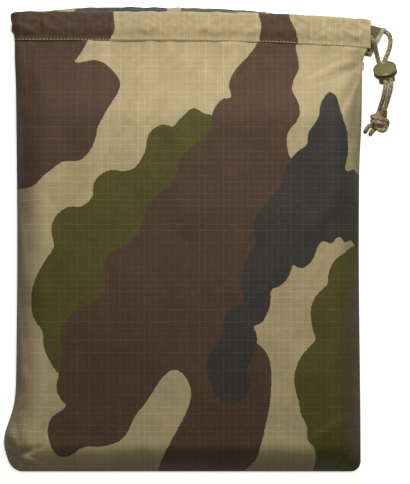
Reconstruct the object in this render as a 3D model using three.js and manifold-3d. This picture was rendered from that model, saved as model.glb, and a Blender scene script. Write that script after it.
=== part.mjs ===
// A ghillie suit packed flat in its drawstring stow bag, lying on its back.
// Millimetres, +Z up. The origin is on the floor under the middle of the bag,
// +Y points to the mouth and +X to the corner where the drawcord comes out.
import * as THREE from "three";
import { mergeVertices } from "three/addons/utils/BufferGeometryUtils.js";
import Module from "manifold-3d";

const wasm = await Module();
wasm.setup();

// ---- Driving dimensions ----
const BAG_WIDTH = 298; // side seam to side seam, packed
const BAG_LENGTH = 397; // bottom seam to the folded edge of the mouth
const PACK_HEIGHT = 40; // floor to the crown of the front panel
const SEAM_HEIGHT = 12; // side and bottom seams above the floor
const CLOTH = 0.8; // one layer of cloth
const GAP = 0.3; // clearance between pieces that touch
const CORD = 4; // drawcord diameter
const HEM = 25.5; // depth of the cord casing
const MOUTH_GAP = 6.6; // open height between the two sides of the flattened mouth
const CORNER_RADIUS = 9; // bottom corners in plan
const CORNER_FLARE = 10; // how far the folded left bottom corner stands out
const WAIST = 1.5; // how far the sides draw in at mid length
const FRONT_ROLL = 28; // width over which the front panel rolls up from its seams
const BACK_ROLL = 16; // width over which the back panel rolls up to its seams
const CROWN = 4; // extra height in the middle of the front panel
const SUIT_INSET = 23; // seam to the folded suit
const THROAT = 57; // folded mouth edge to the folded suit
const TROUSERS_THICK = 12;
const JACKET_THICK = 16;
const HOOD_THICK = 7;
const SEAM_ALLOWANCE = 6;
const THREAD = 0.6;
const LOCK_DIAMETER = 20.6; // button of the cord lock
const LOCK_TRAVEL = 1.6; // how far the button presses in
const LOCK_LEAN = THREE.MathUtils.degToRad(41); // lock's axis above the floor
const LOCK_TURN = THREE.MathUtils.degToRad(15); // lock's axis turned from +Y towards -X
const LOCK_FACE = [20.4, -48.8, 15.3]; // middle of the button's face, from the mouth corner
const KNOT_SIZE = [16.5, 16, 12];
const KNOT_CENTRE = [15.7, -94.4, 6.3]; // from the mouth corner

// ---- Worked out from them ----
const right = BAG_WIDTH / 2;
const top = BAG_LENGTH / 2;
const bottom = -BAG_LENGTH / 2;
const channelHalf = CORD / 2 + GAP; // inside of the cord channel, either side of the cord
const casingHalf = channelHalf + CLOTH;
const legInner = CLOTH / 2 + GAP; // casing's legs, either side of the panel's edge
const legOuter = legInner + CLOTH;
const backCord = casingHalf; // height of the cord in the back of the casing
const frontCord = 3 * casingHalf + MOUTH_GAP; // and in the front
const turnRadius = (frontCord - backCord) / 2;
const turnHeight = (frontCord + backCord) / 2; // middle of the mouth's turn at the left seam
const mouthTurn = turnRadius + CLOTH / 2; // radius of the panels' turn inside the casing's
const tongue = 3.9; // how far a panel's edge reaches into the casing
const seamTop = top - 44; // top of the side seams, where the slit starts
const turnX = 6 - right; // middle of the casing's turn at the left seam
const cornerPoint = (p) => new THREE.Vector3(right + p[0], top + p[1], p[2]);

// ---- Small helpers ----
const lerp = THREE.MathUtils.lerp;
const smooth = THREE.MathUtils.smoothstep;

function solid(geometry) {
  const plain = geometry.index ? geometry.toNonIndexed() : geometry.clone();
  plain.deleteAttribute("normal");
  plain.deleteAttribute("uv");
  const merged = mergeVertices(plain, 1e-4);
  return new wasm.Manifold(
    new wasm.Mesh({
      numProp: 3,
      vertProperties: merged.attributes.position.array,
      triVerts: new Uint32Array(merged.index.array),
    }),
  );
}

function geometryOf(manifold) {
  const mesh = manifold.getMesh();
  const geometry = new THREE.BufferGeometry();
  geometry.setAttribute("position", new THREE.BufferAttribute(new Float32Array(mesh.vertProperties), 3));
  geometry.setIndex(new THREE.BufferAttribute(new Uint32Array(mesh.triVerts), 1));
  geometry.computeVertexNormals();
  return geometry;
}

// A closed solid through rings of points; every ring has the same number of points.
function loft(rings) {
  const n = rings[0].length;
  const positions = rings.flat().flatMap((p) => [p.x, p.y, p.z]);
  const index = [];
  for (let i = 0; i + 1 < rings.length; i++) {
    for (let j = 0; j < n; j++) {
      const a = i * n + j;
      const b = i * n + ((j + 1) % n);
      index.push(a, b, b + n, a, b + n, a + n);
    }
  }
  return { positions, index, n };
}

// Carries a flat profile of [across, along Y] points along frames and caps both ends.
function sweep(profile, frames) {
  const flat = profile.map(([u, v]) => new THREE.Vector2(u, v));
  if (THREE.ShapeUtils.isClockWise(flat)) flat.reverse();
  const rings = frames.map((frame) => flat.map((p) => frame(p.x, p.y)));
  const { positions, index, n } = loft(rings);
  const last = (rings.length - 1) * n;
  for (const [a, b, c] of THREE.ShapeUtils.triangulateShape(flat, [])) {
    index.push(c, b, a);
    index.push(last + a, last + b, last + c);
  }
  return facingOut(positions, index);
}

function facingOut(positions, index) {
  const geometry = new THREE.BufferGeometry();
  geometry.setAttribute("position", new THREE.Float32BufferAttribute(positions, 3));
  geometry.setIndex(index);
  if (solid(geometry).volume() < 0) {
    for (let i = 0; i < index.length; i += 3) {
      [index[i + 1], index[i + 2]] = [index[i + 2], index[i + 1]];
    }
    geometry.setIndex(index);
  }
  geometry.computeVertexNormals();
  return geometry;
}

// A sheet of cloth over a grid of points, thickened to one side of it.
function clothSheet(rows, side) {
  const across = rows[0].length;
  const outer = rows.flat();
  const normals = outer.map(() => new THREE.Vector3());
  const quads = [];
  for (let j = 0; j + 1 < rows.length; j++) {
    for (let i = 0; i + 1 < across; i++) {
      const a = j * across + i;
      quads.push([a, a + 1, a + 1 + across], [a, a + 1 + across, a + across]);
    }
  }
  for (const [a, b, c] of quads) {
    const face = outer[b].clone().sub(outer[a]).cross(outer[c].clone().sub(outer[a]));
    for (const i of [a, b, c]) normals[i].add(face);
  }
  for (const i of rimOf(rows.length, across)) {
    if (outer[i].y < seamTop || i % across === 0) normals[i].z = 0;
  }
  const inner = outer.map((p, i) => p.clone().addScaledVector(normals[i].normalize(), side * CLOTH));
  const positions = [...outer, ...inner].flatMap((p) => [p.x, p.y, p.z]);
  const index = quads.flatMap(([a, b, c]) => [a, b, c, a + outer.length, c + outer.length, b + outer.length]);
  const rim = rimOf(rows.length, across);
  rim.forEach((a, k) => {
    const b = rim[(k + 1) % rim.length];
    index.push(b, a, a + outer.length, b, a + outer.length, b + outer.length);
  });
  return facingOut(positions, index);
}

function rimOf(down, across) {
  const rim = [];
  for (let i = 0; i < across; i++) rim.push(i);
  for (let j = 1; j < down; j++) rim.push(j * across + across - 1);
  for (let i = across - 2; i >= 0; i--) rim.push((down - 1) * across + i);
  for (let j = down - 2; j > 0; j--) rim.push(j * across);
  return rim;
}

// ---- Outline of the bag in plan ----
function sideX(sign, y) {
  const up = y - bottom;
  const corner = up < CORNER_RADIUS ? CORNER_RADIUS - Math.sqrt(CORNER_RADIUS ** 2 - (CORNER_RADIUS - up) ** 2) : 0;
  const draw = WAIST * Math.cos((Math.PI * y) / BAG_LENGTH) ** 2;
  const plain = right - corner - draw;
  if (sign > 0) return plain + 1.5 * smooth(y, top - 138, top - 88);
  const flare = CORNER_FLARE * Math.exp(-(((up - 26) / 24) ** 2));
  return lerp(-plain - flare, turnX - mouthTurn, smooth(y, top - 70, top - 32));
}

// How wide the left edge of a panel rolls: at the mouth it follows the casing's turn.
const leftRoll = (line, roll) => lerp(roll, mouthTurn, smooth(line, top - 70, top - 32));

// The mouth's folded edge falls towards the cord corner; the back stands a little above the front.
const frontEdge = (x) => top - 6.7 * Math.max(0, (x + 30) / (right + 38)) ** 2;
const backEdge = (x) => top + 5 * smooth(x, -right, 70 - right) - 18 * Math.max(0, (x + 40) / (right + 63)) ** 2;

// Distances in from an edge for the lines of a rolled edge.
function rollSteps(roll, steps) {
  return Array.from({ length: steps + 1 }, (_, k) => roll * (1 - Math.cos((k * Math.PI) / 2 / steps)));
}

const rise = (distance, roll) => Math.sin(Math.acos(1 - Math.min(distance / roll, 1)));

// Grid lines of a panel: rolled at both sides and the bottom, plain to the mouth.
function panelRows(roll, spread, edgeOf, heightOf) {
  const sides = rollSteps(roll, 6);
  const middle = 7;
  const lows = rollSteps(roll, 6).map((d) => bottom + d);
  const mouthStart = top - 95;
  const flared = [26, 38, 50, 64, 84].filter((d) => d > roll + 3).map((d) => bottom + d);
  const plain = [1, 2].map((k) => lerp(bottom + 84, mouthStart, k / 3));
  const fixed = [...lows, ...flared, ...plain, mouthStart];
  const mouthSteps = [0.16, 0.32, 0.48, 0.62, 0.74, 0.84, 0.92, 1];
  const rows = fixed.map((y) => lineAt(y, () => y));
  for (const q of mouthSteps) {
    rows.push(lineAt(mouthStart + q * 70, (x) => lerp(mouthStart, edgeOf(x) - HEM + tongue, q)));
  }
  return rows;

  function lineAt(y, yOf) {
    const left = sideX(-1, y);
    const far = sideX(1, y) + spread * smooth(y, seamTop, top - 22);
    const turned = leftRoll(y, roll);
    const xs = sides.map((d) => left + (d * turned) / roll);
    for (let k = 1; k < middle; k++) xs.push(lerp(left + turned, far - roll, k / middle));
    xs.push(...sides.map((d) => far - d).reverse());
    return xs.map((x) => {
      const yy = yOf(x);
      return new THREE.Vector3(x, yy, heightOf(x, yy, y, x - left, far - x));
    });
  }
}

function frontHeight(x, y, line, fromLeft, fromRight) {
  const inward = Math.min(fromLeft / leftRoll(line, FRONT_ROLL), fromRight / FRONT_ROLL);
  const lift = rise(inward, 1) * rise(line - bottom, FRONT_ROLL);
  const crown = CROWN * (1 - (x / right) ** 2) * (1 - (y / top) ** 2);
  const mouth = frontCord + CLOTH / 2;
  const hem = frontEdge(x) - HEM - 1;
  const edge = lerp(SEAM_HEIGHT + GAP / 2, x < 0 ? turnHeight + GAP / 2 : mouth, smooth(y, seamTop, hem));
  const body = lerp(PACK_HEIGHT - CROWN + crown, mouth, smooth(y, top - 95, hem));
  return lerp(edge, body, lift);
}

function backHeight(x, y, line, fromLeft, fromRight) {
  const inward = Math.min(fromLeft / leftRoll(line, BACK_ROLL), fromRight / BACK_ROLL);
  const lift = rise(inward, 1) * rise(line - bottom, BACK_ROLL);
  const mouth = backCord - CLOTH / 2;
  const open = smooth(y, seamTop, backEdge(x) - HEM - 1);
  const edge = lerp(SEAM_HEIGHT - GAP / 2, x < 0 ? turnHeight - GAP / 2 : mouth, open);
  return lerp(edge, mouth * open, lift);
}

// ---- Cord casing: one strip folded over the mouth's edge, open at the cord corner ----
function casingProfile() {
  const fold = casingHalf;
  const full = -18;
  const pinch = -21.3;
  const arc = (r, from, to) =>
    Array.from({ length: 5 }, (_, k) => {
      const a = lerp(from, to, k / 4);
      return [r * Math.cos(a), -fold + r * Math.sin(a)];
    });
  return [
    [legOuter, -HEM],
    [legOuter, pinch],
    [casingHalf, full],
    ...arc(casingHalf, 0, Math.PI),
    [-casingHalf, full],
    [-legOuter, pinch],
    [-legOuter, -HEM],
    [-legInner, -HEM],
    [-legInner, pinch - GAP],
    [-channelHalf, full - GAP],
    ...arc(channelHalf, Math.PI, 0),
    [channelHalf, full - GAP],
    [legInner, pinch - GAP],
    [legInner, -HEM],
  ];
}

const frontEnd = right + 8.4; // where the front of the casing ends
const backEnd = right + 23; // and its longer back
const runEnd = backEnd - 2.5; // where the drawcord comes out of the back

// One frame for each step from the front end, round the left seam, to the back end.
// drop(x, y of the folded edge) is how far below that edge the profile lies; the end is slanted by slant.
function casingFrames([frontSteps, turnSteps, backSteps], backTo = backEnd, slant = 0.53, drop = () => 0) {
  const frames = [];
  for (let k = 0; k <= frontSteps; k++) {
    const x = lerp(frontEnd, turnX, k / frontSteps);
    frames.push((u, v) => new THREE.Vector3(x, frontEdge(x) - drop(x, true) + v, frontCord + u));
  }
  for (let k = 1; k < turnSteps; k++) {
    const angle = Math.PI / 2 + (k * Math.PI) / turnSteps;
    const middle = (frontCord + backCord) / 2;
    frames.push((u, v) => {
      const x = turnX + (turnRadius + u) * Math.cos(angle);
      const edge = lerp(frontEdge(turnX), backEdge(turnX), k / turnSteps) - drop(turnX, true);
      return new THREE.Vector3(x, edge + v, middle + (turnRadius + u) * Math.sin(angle));
    });
  }
  for (let k = 0; k <= backSteps; k++) {
    const along = lerp(turnX, backTo, k / backSteps);
    frames.push((u, v) => {
      const lean = slant * v * smooth(along, backTo - 40, backTo);
      return new THREE.Vector3(along + lean, backEdge(along) - drop(along, false) + v, backCord - u);
    });
  }
  return frames;
}

// ---- Drawcord ----
function cordTube(points, steps, diameter = CORD) {
  const sides = 8;
  const section = new THREE.Shape();
  for (let k = 0; k < sides; k++) {
    const a = ((k + 0.5) * 2 * Math.PI) / sides;
    const at = [(diameter / 2) * Math.cos(a), (diameter / 2) * Math.sin(a)];
    if (k) section.lineTo(...at);
    else section.moveTo(...at);
  }
  return new THREE.ExtrudeGeometry(section, { steps, extrudePath: new THREE.CatmullRomCurve3(points, false, "centripetal") });
}

// Inside the casing: in at the front's end, round the left seam, out at the back's end.
function heldRun() {
  const drop = (x, inFront) => {
    const toEnd = smooth(x, right - 40, inFront ? frontEnd : runEnd);
    return lerp(9, inFront ? 16 : 3.8, toEnd);
  };
  const sides = 8;
  const circle = Array.from({ length: sides }, (_, k) => {
    const a = ((k + 0.5) * 2 * Math.PI) / sides;
    return [(CORD / 2) * Math.cos(a), (CORD / 2) * Math.sin(a)];
  });
  return sweep(circle, casingFrames([26, 8, 30], runEnd, 0, drop));
}

// Lock frame: X across the two strands, Y down along them, Z out of the button's face.
const lockFace = cornerPoint(LOCK_FACE);
const lockZ = new THREE.Vector3(
  -Math.sin(LOCK_TURN) * Math.cos(LOCK_LEAN),
  Math.cos(LOCK_TURN) * Math.cos(LOCK_LEAN),
  Math.sin(LOCK_LEAN),
);
const lockX = new THREE.Vector3(Math.cos(LOCK_TURN), Math.sin(LOCK_TURN), 0);
const lockY = lockZ.clone().cross(lockX);
const cordDepth = 6.8; // cord's middle below the button's face
const strandOffset = (CORD + 0.5) / 2; // each strand either side of the lock's middle

// A point on a strand where it runs straight through the lock.
function inLock(side, along) {
  return lockFace
    .clone()
    .addScaledVector(lockZ, -cordDepth)
    .addScaledVector(lockX, side * strandOffset)
    .addScaledVector(lockY, -along);
}

const frontStrand = [
  ...[
    [5.4, -20.4, frontCord],
    [8.8, -23.2, 15.7],
    [11.0, -26.6, 14.2],
    [12.6, -30.8, 10.8],
    [14.0, -35.2, 6.6],
    [15.4, -39.6, 3.5],
    [16.7, -43.8, 2.4],
    [17.6, -47.0, 3.2],
  ].map(cornerPoint),
  ...[-7, -3.5, 0, 3.5, 7.5].map((along) => inLock(-1, along)),
  ...[
    [21.1, -62.4, 18.7],
    [20.7, -66.6, 19.9],
    [19.8, -71.2, 19.0],
    [18.6, -76.4, 15.7],
    [17.2, -81.4, 11.6],
    [16.0, -85.6, 8.6],
  ].map(cornerPoint),
];

const backStrand = [
  ...[
    [18.0, -15.6, backCord],
    [21.4, -16.4, backCord],
    [24.8, -18.7, 2.9],
    [26.4, -22.8, 2.5],
    [26.0, -28.6, 2.35],
    [24.3, -34.4, 2.35],
    [22.3, -39.2, 2.35],
    [21.1, -42.6, 2.45],
    [21.9, -45.8, 3.2],
  ].map(cornerPoint),
  ...[-7, -3.5, 0, 3.5, 7.5].map((along) => inLock(1, along)),
  ...[
    [25.5, -61.4, 18.8],
    [25.2, -65.8, 20.2],
    [24.3, -70.8, 19.7],
    [22.9, -76.2, 17.1],
    [21.6, -81.0, 14.7],
    [20.1, -85.0, 12.7],
  ].map(cornerPoint),
];

// A strand starts where the held run ends, at the face x = from.
function strandFrom(points, from) {
  const trim = new THREE.BoxGeometry(2 * CORD, 4 * CORD, 4 * CORD);
  trim.translate(from + GAP - CORD, points[1].y, points[1].z);
  return geometryOf(largest(solid(cordTube(points, 24)).subtract(solid(trim))));
}

const frontTail = [
  [7.6, -98.6, 4.2],
  [5.4, -101.6, 3.1],
  [3.7, -105.0, 2.2],
].map(cornerPoint);

const backTail = [
  [11.6, -101.2, 3.4],
  [9.8, -103.8, 2.6],
  [8.4, -107.2, 2.2],
].map(cornerPoint);

function knotBody() {
  const ball = new THREE.SphereGeometry(0.5, 20, 12);
  ball.scale(...KNOT_SIZE);
  ball.rotateZ(-0.35);
  const centre = cornerPoint(KNOT_CENTRE);
  ball.translate(centre.x, centre.y, centre.z);
  let body = solid(ball);
  for (const [points, steps] of [
    [frontStrand, 40],
    [backStrand, 40],
    [frontTail, 5],
    [backTail, 5],
  ]) {
    body = body.subtract(solid(cordTube(points, steps, CORD + 2 * GAP)));
  }
  return geometryOf(largest(body));
}

function largest(manifold) {
  return manifold.decompose().sort((a, b) => b.volume() - a.volume())[0];
}

// ---- Cord lock ----
const discThick = 1.8;
const rimTop = discThick + LOCK_TRAVEL + GAP; // top of the barrel, below the button's face
const slotHalf = CORD / 2 + 0.4;
const slotWidth = 2 * strandOffset + CORD + 0.8;
const stemWidth = slotWidth + 2.2;
const stemDeep = 5.8;
const stemEnd = cordDepth + slotHalf + 0.9; // far end of the button's stem
const barrelFloor = 0.9;
const springRoom = LOCK_TRAVEL + 1.2;
const barrelEnd = stemEnd + springRoom + barrelFloor;

function block(width, depth, from, to) {
  const box = new THREE.BoxGeometry(width, depth, from - to);
  box.translate(0, 0, (from + to) / 2);
  return solid(box);
}

function roundedBlock(width, depth, radius, high, low) {
  const shape = new THREE.Shape();
  const x = width / 2 - radius;
  const y = depth / 2 - radius;
  shape.absarc(x, y, radius, 0, Math.PI / 2);
  shape.absarc(-x, y, radius, Math.PI / 2, Math.PI);
  shape.absarc(-x, -y, radius, Math.PI, 1.5 * Math.PI);
  shape.absarc(x, -y, radius, 1.5 * Math.PI, 2 * Math.PI);
  const made = new THREE.ExtrudeGeometry(shape, { depth: high - low, bevelEnabled: false, curveSegments: 5 });
  made.translate(0, 0, low);
  return solid(made);
}

function lathe(profile, sides = 32) {
  const made = new THREE.LatheGeometry(
    profile.map(([r, z]) => new THREE.Vector2(r, z)),
    sides,
  );
  made.rotateX(Math.PI / 2);
  return solid(made);
}

function lockButton() {
  const r = LOCK_DIAMETER / 2;
  const disc = lathe([
    [0, -discThick],
    [r - 0.8, -discThick],
    [r, -discThick + 0.7],
    [r, -0.5],
    [r - 0.5, 0],
    [r - 1.3, -0.1],
    [r - 2, -0.6],
    [0, -0.3],
  ]);
  const stem = roundedBlock(stemWidth, stemDeep, 1.5, -discThick + 0.5, -stemEnd);
  const slotTop = -(cordDepth - slotHalf - LOCK_TRAVEL);
  const slot = block(slotWidth, 40, slotTop, -(cordDepth + slotHalf));
  return geometryOf(disc.add(stem).subtract(slot));
}

function lockBarrel() {
  const wall = 1.1;
  const r = LOCK_DIAMETER / 2 - 0.3;
  const flange = lathe([
    [0, -rimTop - 2.5],
    [r - 0.9, -rimTop - 2.5],
    [r, -rimTop - 1.8],
    [r, -rimTop - 0.6],
    [r - 0.6, -rimTop],
    [0, -rimTop],
  ]);
  const body = roundedBlock(stemWidth + 2 * (wall + GAP), stemDeep + 2 * (wall + GAP), 3, -rimTop - 1, -barrelEnd);
  const bore = roundedBlock(stemWidth + 2 * GAP, stemDeep + 2 * GAP, 1.8, 1, -barrelEnd + barrelFloor);
  const slotTop = -(cordDepth - slotHalf - GAP);
  const slot = block(slotWidth, 40, slotTop, -(cordDepth + slotHalf));
  return geometryOf(flange.add(body).subtract(bore).subtract(slot));
}

class Helix extends THREE.Curve {
  constructor(radius, low, high, turns) {
    super();
    Object.assign(this, { radius, low, high, turns });
  }
  getPoint(t, target = new THREE.Vector3()) {
    const a = 2 * Math.PI * this.turns * t;
    return target.set(this.radius * Math.cos(a), this.radius * Math.sin(a), lerp(this.low, this.high, t));
  }
}

function lockSpring() {
  const wire = 0.4;
  const section = new THREE.Shape();
  section.absarc(0, 0, wire / 2, 0, 2 * Math.PI);
  const low = -barrelEnd + barrelFloor + GAP + wire / 2;
  const high = -stemEnd - GAP - wire / 2;
  return new THREE.ExtrudeGeometry(section, {
    steps: 36,
    curveSegments: 3,
    extrudePath: new Helix(2.1, low, high, 2.5),
  });
}

// ---- Folded suit ----
function foldedPad(width, depth, low, thick, centreY) {
  const bevel = Math.min(4, thick / 2 - 1);
  const radius = 16;
  const shape = new THREE.Shape();
  const x = width / 2 - radius - bevel;
  const y = depth / 2 - radius - bevel;
  shape.absarc(x, y, radius, 0, Math.PI / 2);
  shape.absarc(-x, y, radius, Math.PI / 2, Math.PI);
  shape.absarc(-x, -y, radius, Math.PI, 1.5 * Math.PI);
  shape.absarc(x, -y, radius, 1.5 * Math.PI, 2 * Math.PI);
  const made = new THREE.ExtrudeGeometry(shape, {
    depth: thick - 2 * bevel,
    bevelThickness: bevel,
    bevelSize: bevel,
    bevelSegments: 3,
    curveSegments: 4,
  });
  made.translate(0, centreY, low + bevel);
  return made;
}

// ---- Seam allowances, overlocked together inside the bag ----
const allowanceInset = CLOTH + 0.85;

function sideAllowance(sign) {
  const frames = Array.from({ length: 15 }, (_, k) => {
    const y = lerp(bottom + 20, seamTop - 2, k / 14);
    return (u, v) => new THREE.Vector3(sideX(sign, y) - sign * (allowanceInset - v), y, SEAM_HEIGHT + u);
  });
  return sweep(strip(), frames);
}

function bottomAllowance() {
  const frames = Array.from({ length: 3 }, (_, k) => {
    const x = lerp(16 - right, right - 16, k / 2);
    return (u, v) => new THREE.Vector3(x, bottom + allowanceInset - v, SEAM_HEIGHT + u);
  });
  return sweep(strip(), frames);
}

function strip() {
  const half = 0.5;
  return [
    [-half, 0],
    [half, 0],
    [half, -SEAM_ALLOWANCE],
    [-half, -SEAM_ALLOWANCE],
  ];
}

// ---- Stitching ----
function casingStitching() {
  const row = -HEM + 1.5;
  const near = legOuter + GAP / 2;
  const profile = [
    [near, row - THREAD],
    [near + THREAD, row - THREAD],
    [near + THREAD, row + THREAD],
    [near, row + THREAD],
  ];
  return sweep(profile, casingFrames([14, 6, 16]));
}

function bartack() {
  const [wide, long, high] = [1.2, 7, 3];
  const tack = new THREE.BoxGeometry(wide, long, high);
  tack.translate(sideX(1, seamTop) + GAP + wide / 2, seamTop - long / 2, SEAM_HEIGHT);
  return tack;
}

// ---- Assembly ----
const cloth = { roughness: 0.9, metalness: 0 };
const finishes = {
  panel: new THREE.MeshStandardMaterial({ color: 0x978866, ...cloth }),
  casing: new THREE.MeshStandardMaterial({ color: 0xa3946f, ...cloth }),
  thread: new THREE.MeshStandardMaterial({ color: 0xb9a97c, ...cloth }),
  cord: new THREE.MeshStandardMaterial({ color: 0x8f8060, ...cloth }),
  suit: new THREE.MeshStandardMaterial({ color: 0x4f5a32, ...cloth }),
  lock: new THREE.MeshStandardMaterial({ color: 0x6d6a34, roughness: 0.5, metalness: 0 }),
  spring: new THREE.MeshStandardMaterial({ color: 0xb8babd, roughness: 0.3, metalness: 1 }),
};

function piece(name, geometry, finish) {
  const mesh = new THREE.Mesh(geometry, finishes[finish]);
  mesh.name = name;
  return mesh;
}

const trousersLow = CLOTH + GAP;
const jacketLow = trousersLow + TROUSERS_THICK + GAP;
const hoodLow = jacketLow + JACKET_THICK + GAP;
const suitWidth = BAG_WIDTH - 2 * SUIT_INSET;
const suitLength = BAG_LENGTH - SUIT_INSET - THROAT;
const suitCentre = (bottom + SUIT_INSET + top - THROAT) / 2;

const bag = new THREE.Group();
bag.add(
  piece("back_panel", clothSheet(panelRows(BACK_ROLL, 0, backEdge, backHeight), 1), "panel"),
  piece("front_panel", clothSheet(panelRows(FRONT_ROLL, 5.2, frontEdge, frontHeight), -1), "panel"),
  piece("cord_casing", sweep(casingProfile(), casingFrames([14, 6, 16])), "casing"),
  piece("casing_stitching", casingStitching(), "thread"),
  piece("left_seam_allowance", sideAllowance(-1), "thread"),
  piece("right_seam_allowance", sideAllowance(1), "thread"),
  piece("bottom_seam_allowance", bottomAllowance(), "thread"),
  piece("slit_bartack", bartack(), "thread"),
  piece("folded_trousers", foldedPad(suitWidth, suitLength, trousersLow, TROUSERS_THICK, suitCentre), "suit"),
  piece("folded_jacket", foldedPad(suitWidth, suitLength - 12, jacketLow, JACKET_THICK, suitCentre - 6), "suit"),
  piece("folded_hood", foldedPad(suitWidth * 0.72, suitLength * 0.62, hoodLow, HOOD_THICK, suitCentre - 14), "suit"),
  piece("drawcord_held_run", heldRun(), "cord"),
  piece("drawcord_front_strand", strandFrom(frontStrand, frontEnd), "cord"),
  piece("drawcord_back_strand", strandFrom(backStrand, runEnd), "cord"),
  piece("drawcord_knot", knotBody(), "cord"),
  piece("drawcord_front_tail", cordTube(frontTail, 3), "cord"),
  piece("drawcord_back_tail", cordTube(backTail, 3), "cord"),
);

const lock = new THREE.Group();
lock.applyMatrix4(new THREE.Matrix4().makeBasis(lockX, lockY, lockZ).setPosition(lockFace));
lock.add(
  piece("lock_barrel", lockBarrel(), "lock"),
  piece("lock_button", lockButton(), "lock"),
  piece("lock_spring", lockSpring(), "spring"),
);
bag.add(lock);

export default bag;
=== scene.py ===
"""Looks for the ghillie suit folded in its drawstring stow bag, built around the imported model."""

import bpy
import numpy as np
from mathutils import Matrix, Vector


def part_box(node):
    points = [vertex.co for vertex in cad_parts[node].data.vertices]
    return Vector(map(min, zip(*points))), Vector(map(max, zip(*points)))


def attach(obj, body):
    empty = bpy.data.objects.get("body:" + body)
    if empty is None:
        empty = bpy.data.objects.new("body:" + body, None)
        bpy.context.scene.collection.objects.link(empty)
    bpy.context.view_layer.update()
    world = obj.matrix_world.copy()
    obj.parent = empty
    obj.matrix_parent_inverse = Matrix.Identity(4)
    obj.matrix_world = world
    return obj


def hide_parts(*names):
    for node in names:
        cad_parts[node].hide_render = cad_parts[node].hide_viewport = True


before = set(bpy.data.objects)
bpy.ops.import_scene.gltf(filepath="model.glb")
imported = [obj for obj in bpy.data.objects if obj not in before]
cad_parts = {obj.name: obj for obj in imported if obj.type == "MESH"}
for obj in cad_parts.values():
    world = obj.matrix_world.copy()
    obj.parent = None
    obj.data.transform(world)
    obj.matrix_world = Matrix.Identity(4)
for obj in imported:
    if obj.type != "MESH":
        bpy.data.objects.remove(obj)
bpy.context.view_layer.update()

bl_info = {
    "name": "Ghillie Suit Stow Bag",
    "version": (1, 0, 0),
    "blender": (4, 5, 0),
    "location": "3D View > Sidebar > Stow Bag",
    "description": "Builds a packed ripstop stow bag with its drawcord, cord lock and folded suit",
    "category": "Object",
}

MM = 0.001
BAG = "bag"
LOCK = "cord_lock"
BUTTON = "release_button"

# ---------------------------------------------------------------- sizes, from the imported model

panel_low, panel_high = (np.array(corner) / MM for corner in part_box("front_panel"))
seam_low, seam_high = (np.array(corner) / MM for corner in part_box("bottom_seam_allowance"))

CORD_TURN = 6.4  # radius of the hem's turn at the left seam
MOUTH_TURN = 6.8  # radius of the panels' outer face there
TURN_HEIGHT = 9.5  # middle of that turn above the floor
FRONT_ROLL = 27  # width over which the front panel rolls up from its seams
CHANNEL_MIDDLE = 2.7  # middle of the wall round the drawcord, from the cord's middle
HEM_DEEP = 25.5  # depth of the hem's legs below its folded edge
TONGUE = 3.9  # how far the panels reach up inside the hem
CORD_DEPTH = 6.8  # middle of the strands below the lock button's face
STRAND_OFFSET = 2.25  # each strand's middle from the lock's middle
FLOOR_DROP = 0.2  # gap between the floor and the lowest cloth


# ---------------------------------------------------------------- small maths


def smooth(x, low, high):
    """Zero below low, one above high, and 3t2 - 2t3 between."""
    t = np.clip((x - low) / (high - low), 0, 1)
    return t * t * (3 - 2 * t)


def lerp(a, b, t):
    """Straight mix from a to b."""
    return a + (b - a) * t


def bell(x, width):
    """One at zero, falling away as exp(-(x / width) squared)."""
    return np.exp(-((x / width) ** 2))


def ripple(x, y, seed):
    """Smooth noise from -1 to 1: random numbers on a unit grid, eased between neighbours with smoothstep."""
    table = np.random.default_rng(seed).uniform(-1, 1, (64, 64))
    x, y = np.broadcast_arrays(np.asarray(x, float), np.asarray(y, float))
    column, row = np.floor(x).astype(int), np.floor(y).astype(int)
    s, t = x - column, y - row
    s, t = s * s * (3 - 2 * s), t * t * (3 - 2 * t)
    value = lambda i, j: table[(row + j) % 64, (column + i) % 64]
    return lerp(lerp(value(0, 0), value(1, 0), s), lerp(value(0, 1), value(1, 1), s), t)


def crumple(x, y, seed):
    """Creased cloth: three layers of noise on turned grids, each folded to sharp ridges by its absolute
    value."""
    total = 0.0
    for k, (turn, share) in enumerate(((0.3, 0.5), (1.4, 0.3), (2.6, 0.2))):
        u, v = x * np.cos(turn) - y * np.sin(turn), x * np.sin(turn) + y * np.cos(turn)
        total = total + share * (0.45 - 1.5 * np.abs(ripple(u * 1.6**k, v * 1.6**k, seed + k)))
    return total


def smooth_line(points, spacing, closed=False):
    """Centripetal Catmull-Rom curve through the points, then evened out to points a given distance apart."""
    p = np.asarray(points, float)
    if closed:
        p = np.vstack([p[-1], p, p[0], p[1]])
    else:
        p = np.vstack([2 * p[0] - p[1], p, 2 * p[-1] - p[-2]])
    knots = np.concatenate([[0], np.cumsum(np.linalg.norm(np.diff(p, axis=0), axis=1) ** 0.5)])
    t0, t1, t2, t3 = (knots[k : len(knots) - 3 + k, None, None] for k in range(4))
    a, b, c, d = (q[:, None, :] for q in (p[:-3], p[1:-2], p[2:-1], p[3:]))
    t = t1 + (t2 - t1) * np.linspace(0, 1, 24, endpoint=False)[None, :, None]
    mix = lambda q, r, low, high: ((high - t) * q + (t - low) * r) / (high - low)
    ab, bc, cd = mix(a, b, t0, t1), mix(b, c, t1, t2), mix(c, d, t2, t3)
    curve = mix(mix(ab, bc, t0, t2), mix(bc, cd, t1, t3), t1, t2)
    curve = np.vstack([curve.reshape(-1, p.shape[1]), p[-2]])
    along = np.concatenate([[0], np.cumsum(np.linalg.norm(np.diff(curve, axis=0), axis=1))])
    even = np.linspace(0, along[-1], max(2, round(along[-1] / spacing) + 1))
    return np.stack([np.interp(even, along, curve[:, k]) for k in range(p.shape[1])], -1)


# ---------------------------------------------------------------- meshes


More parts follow.
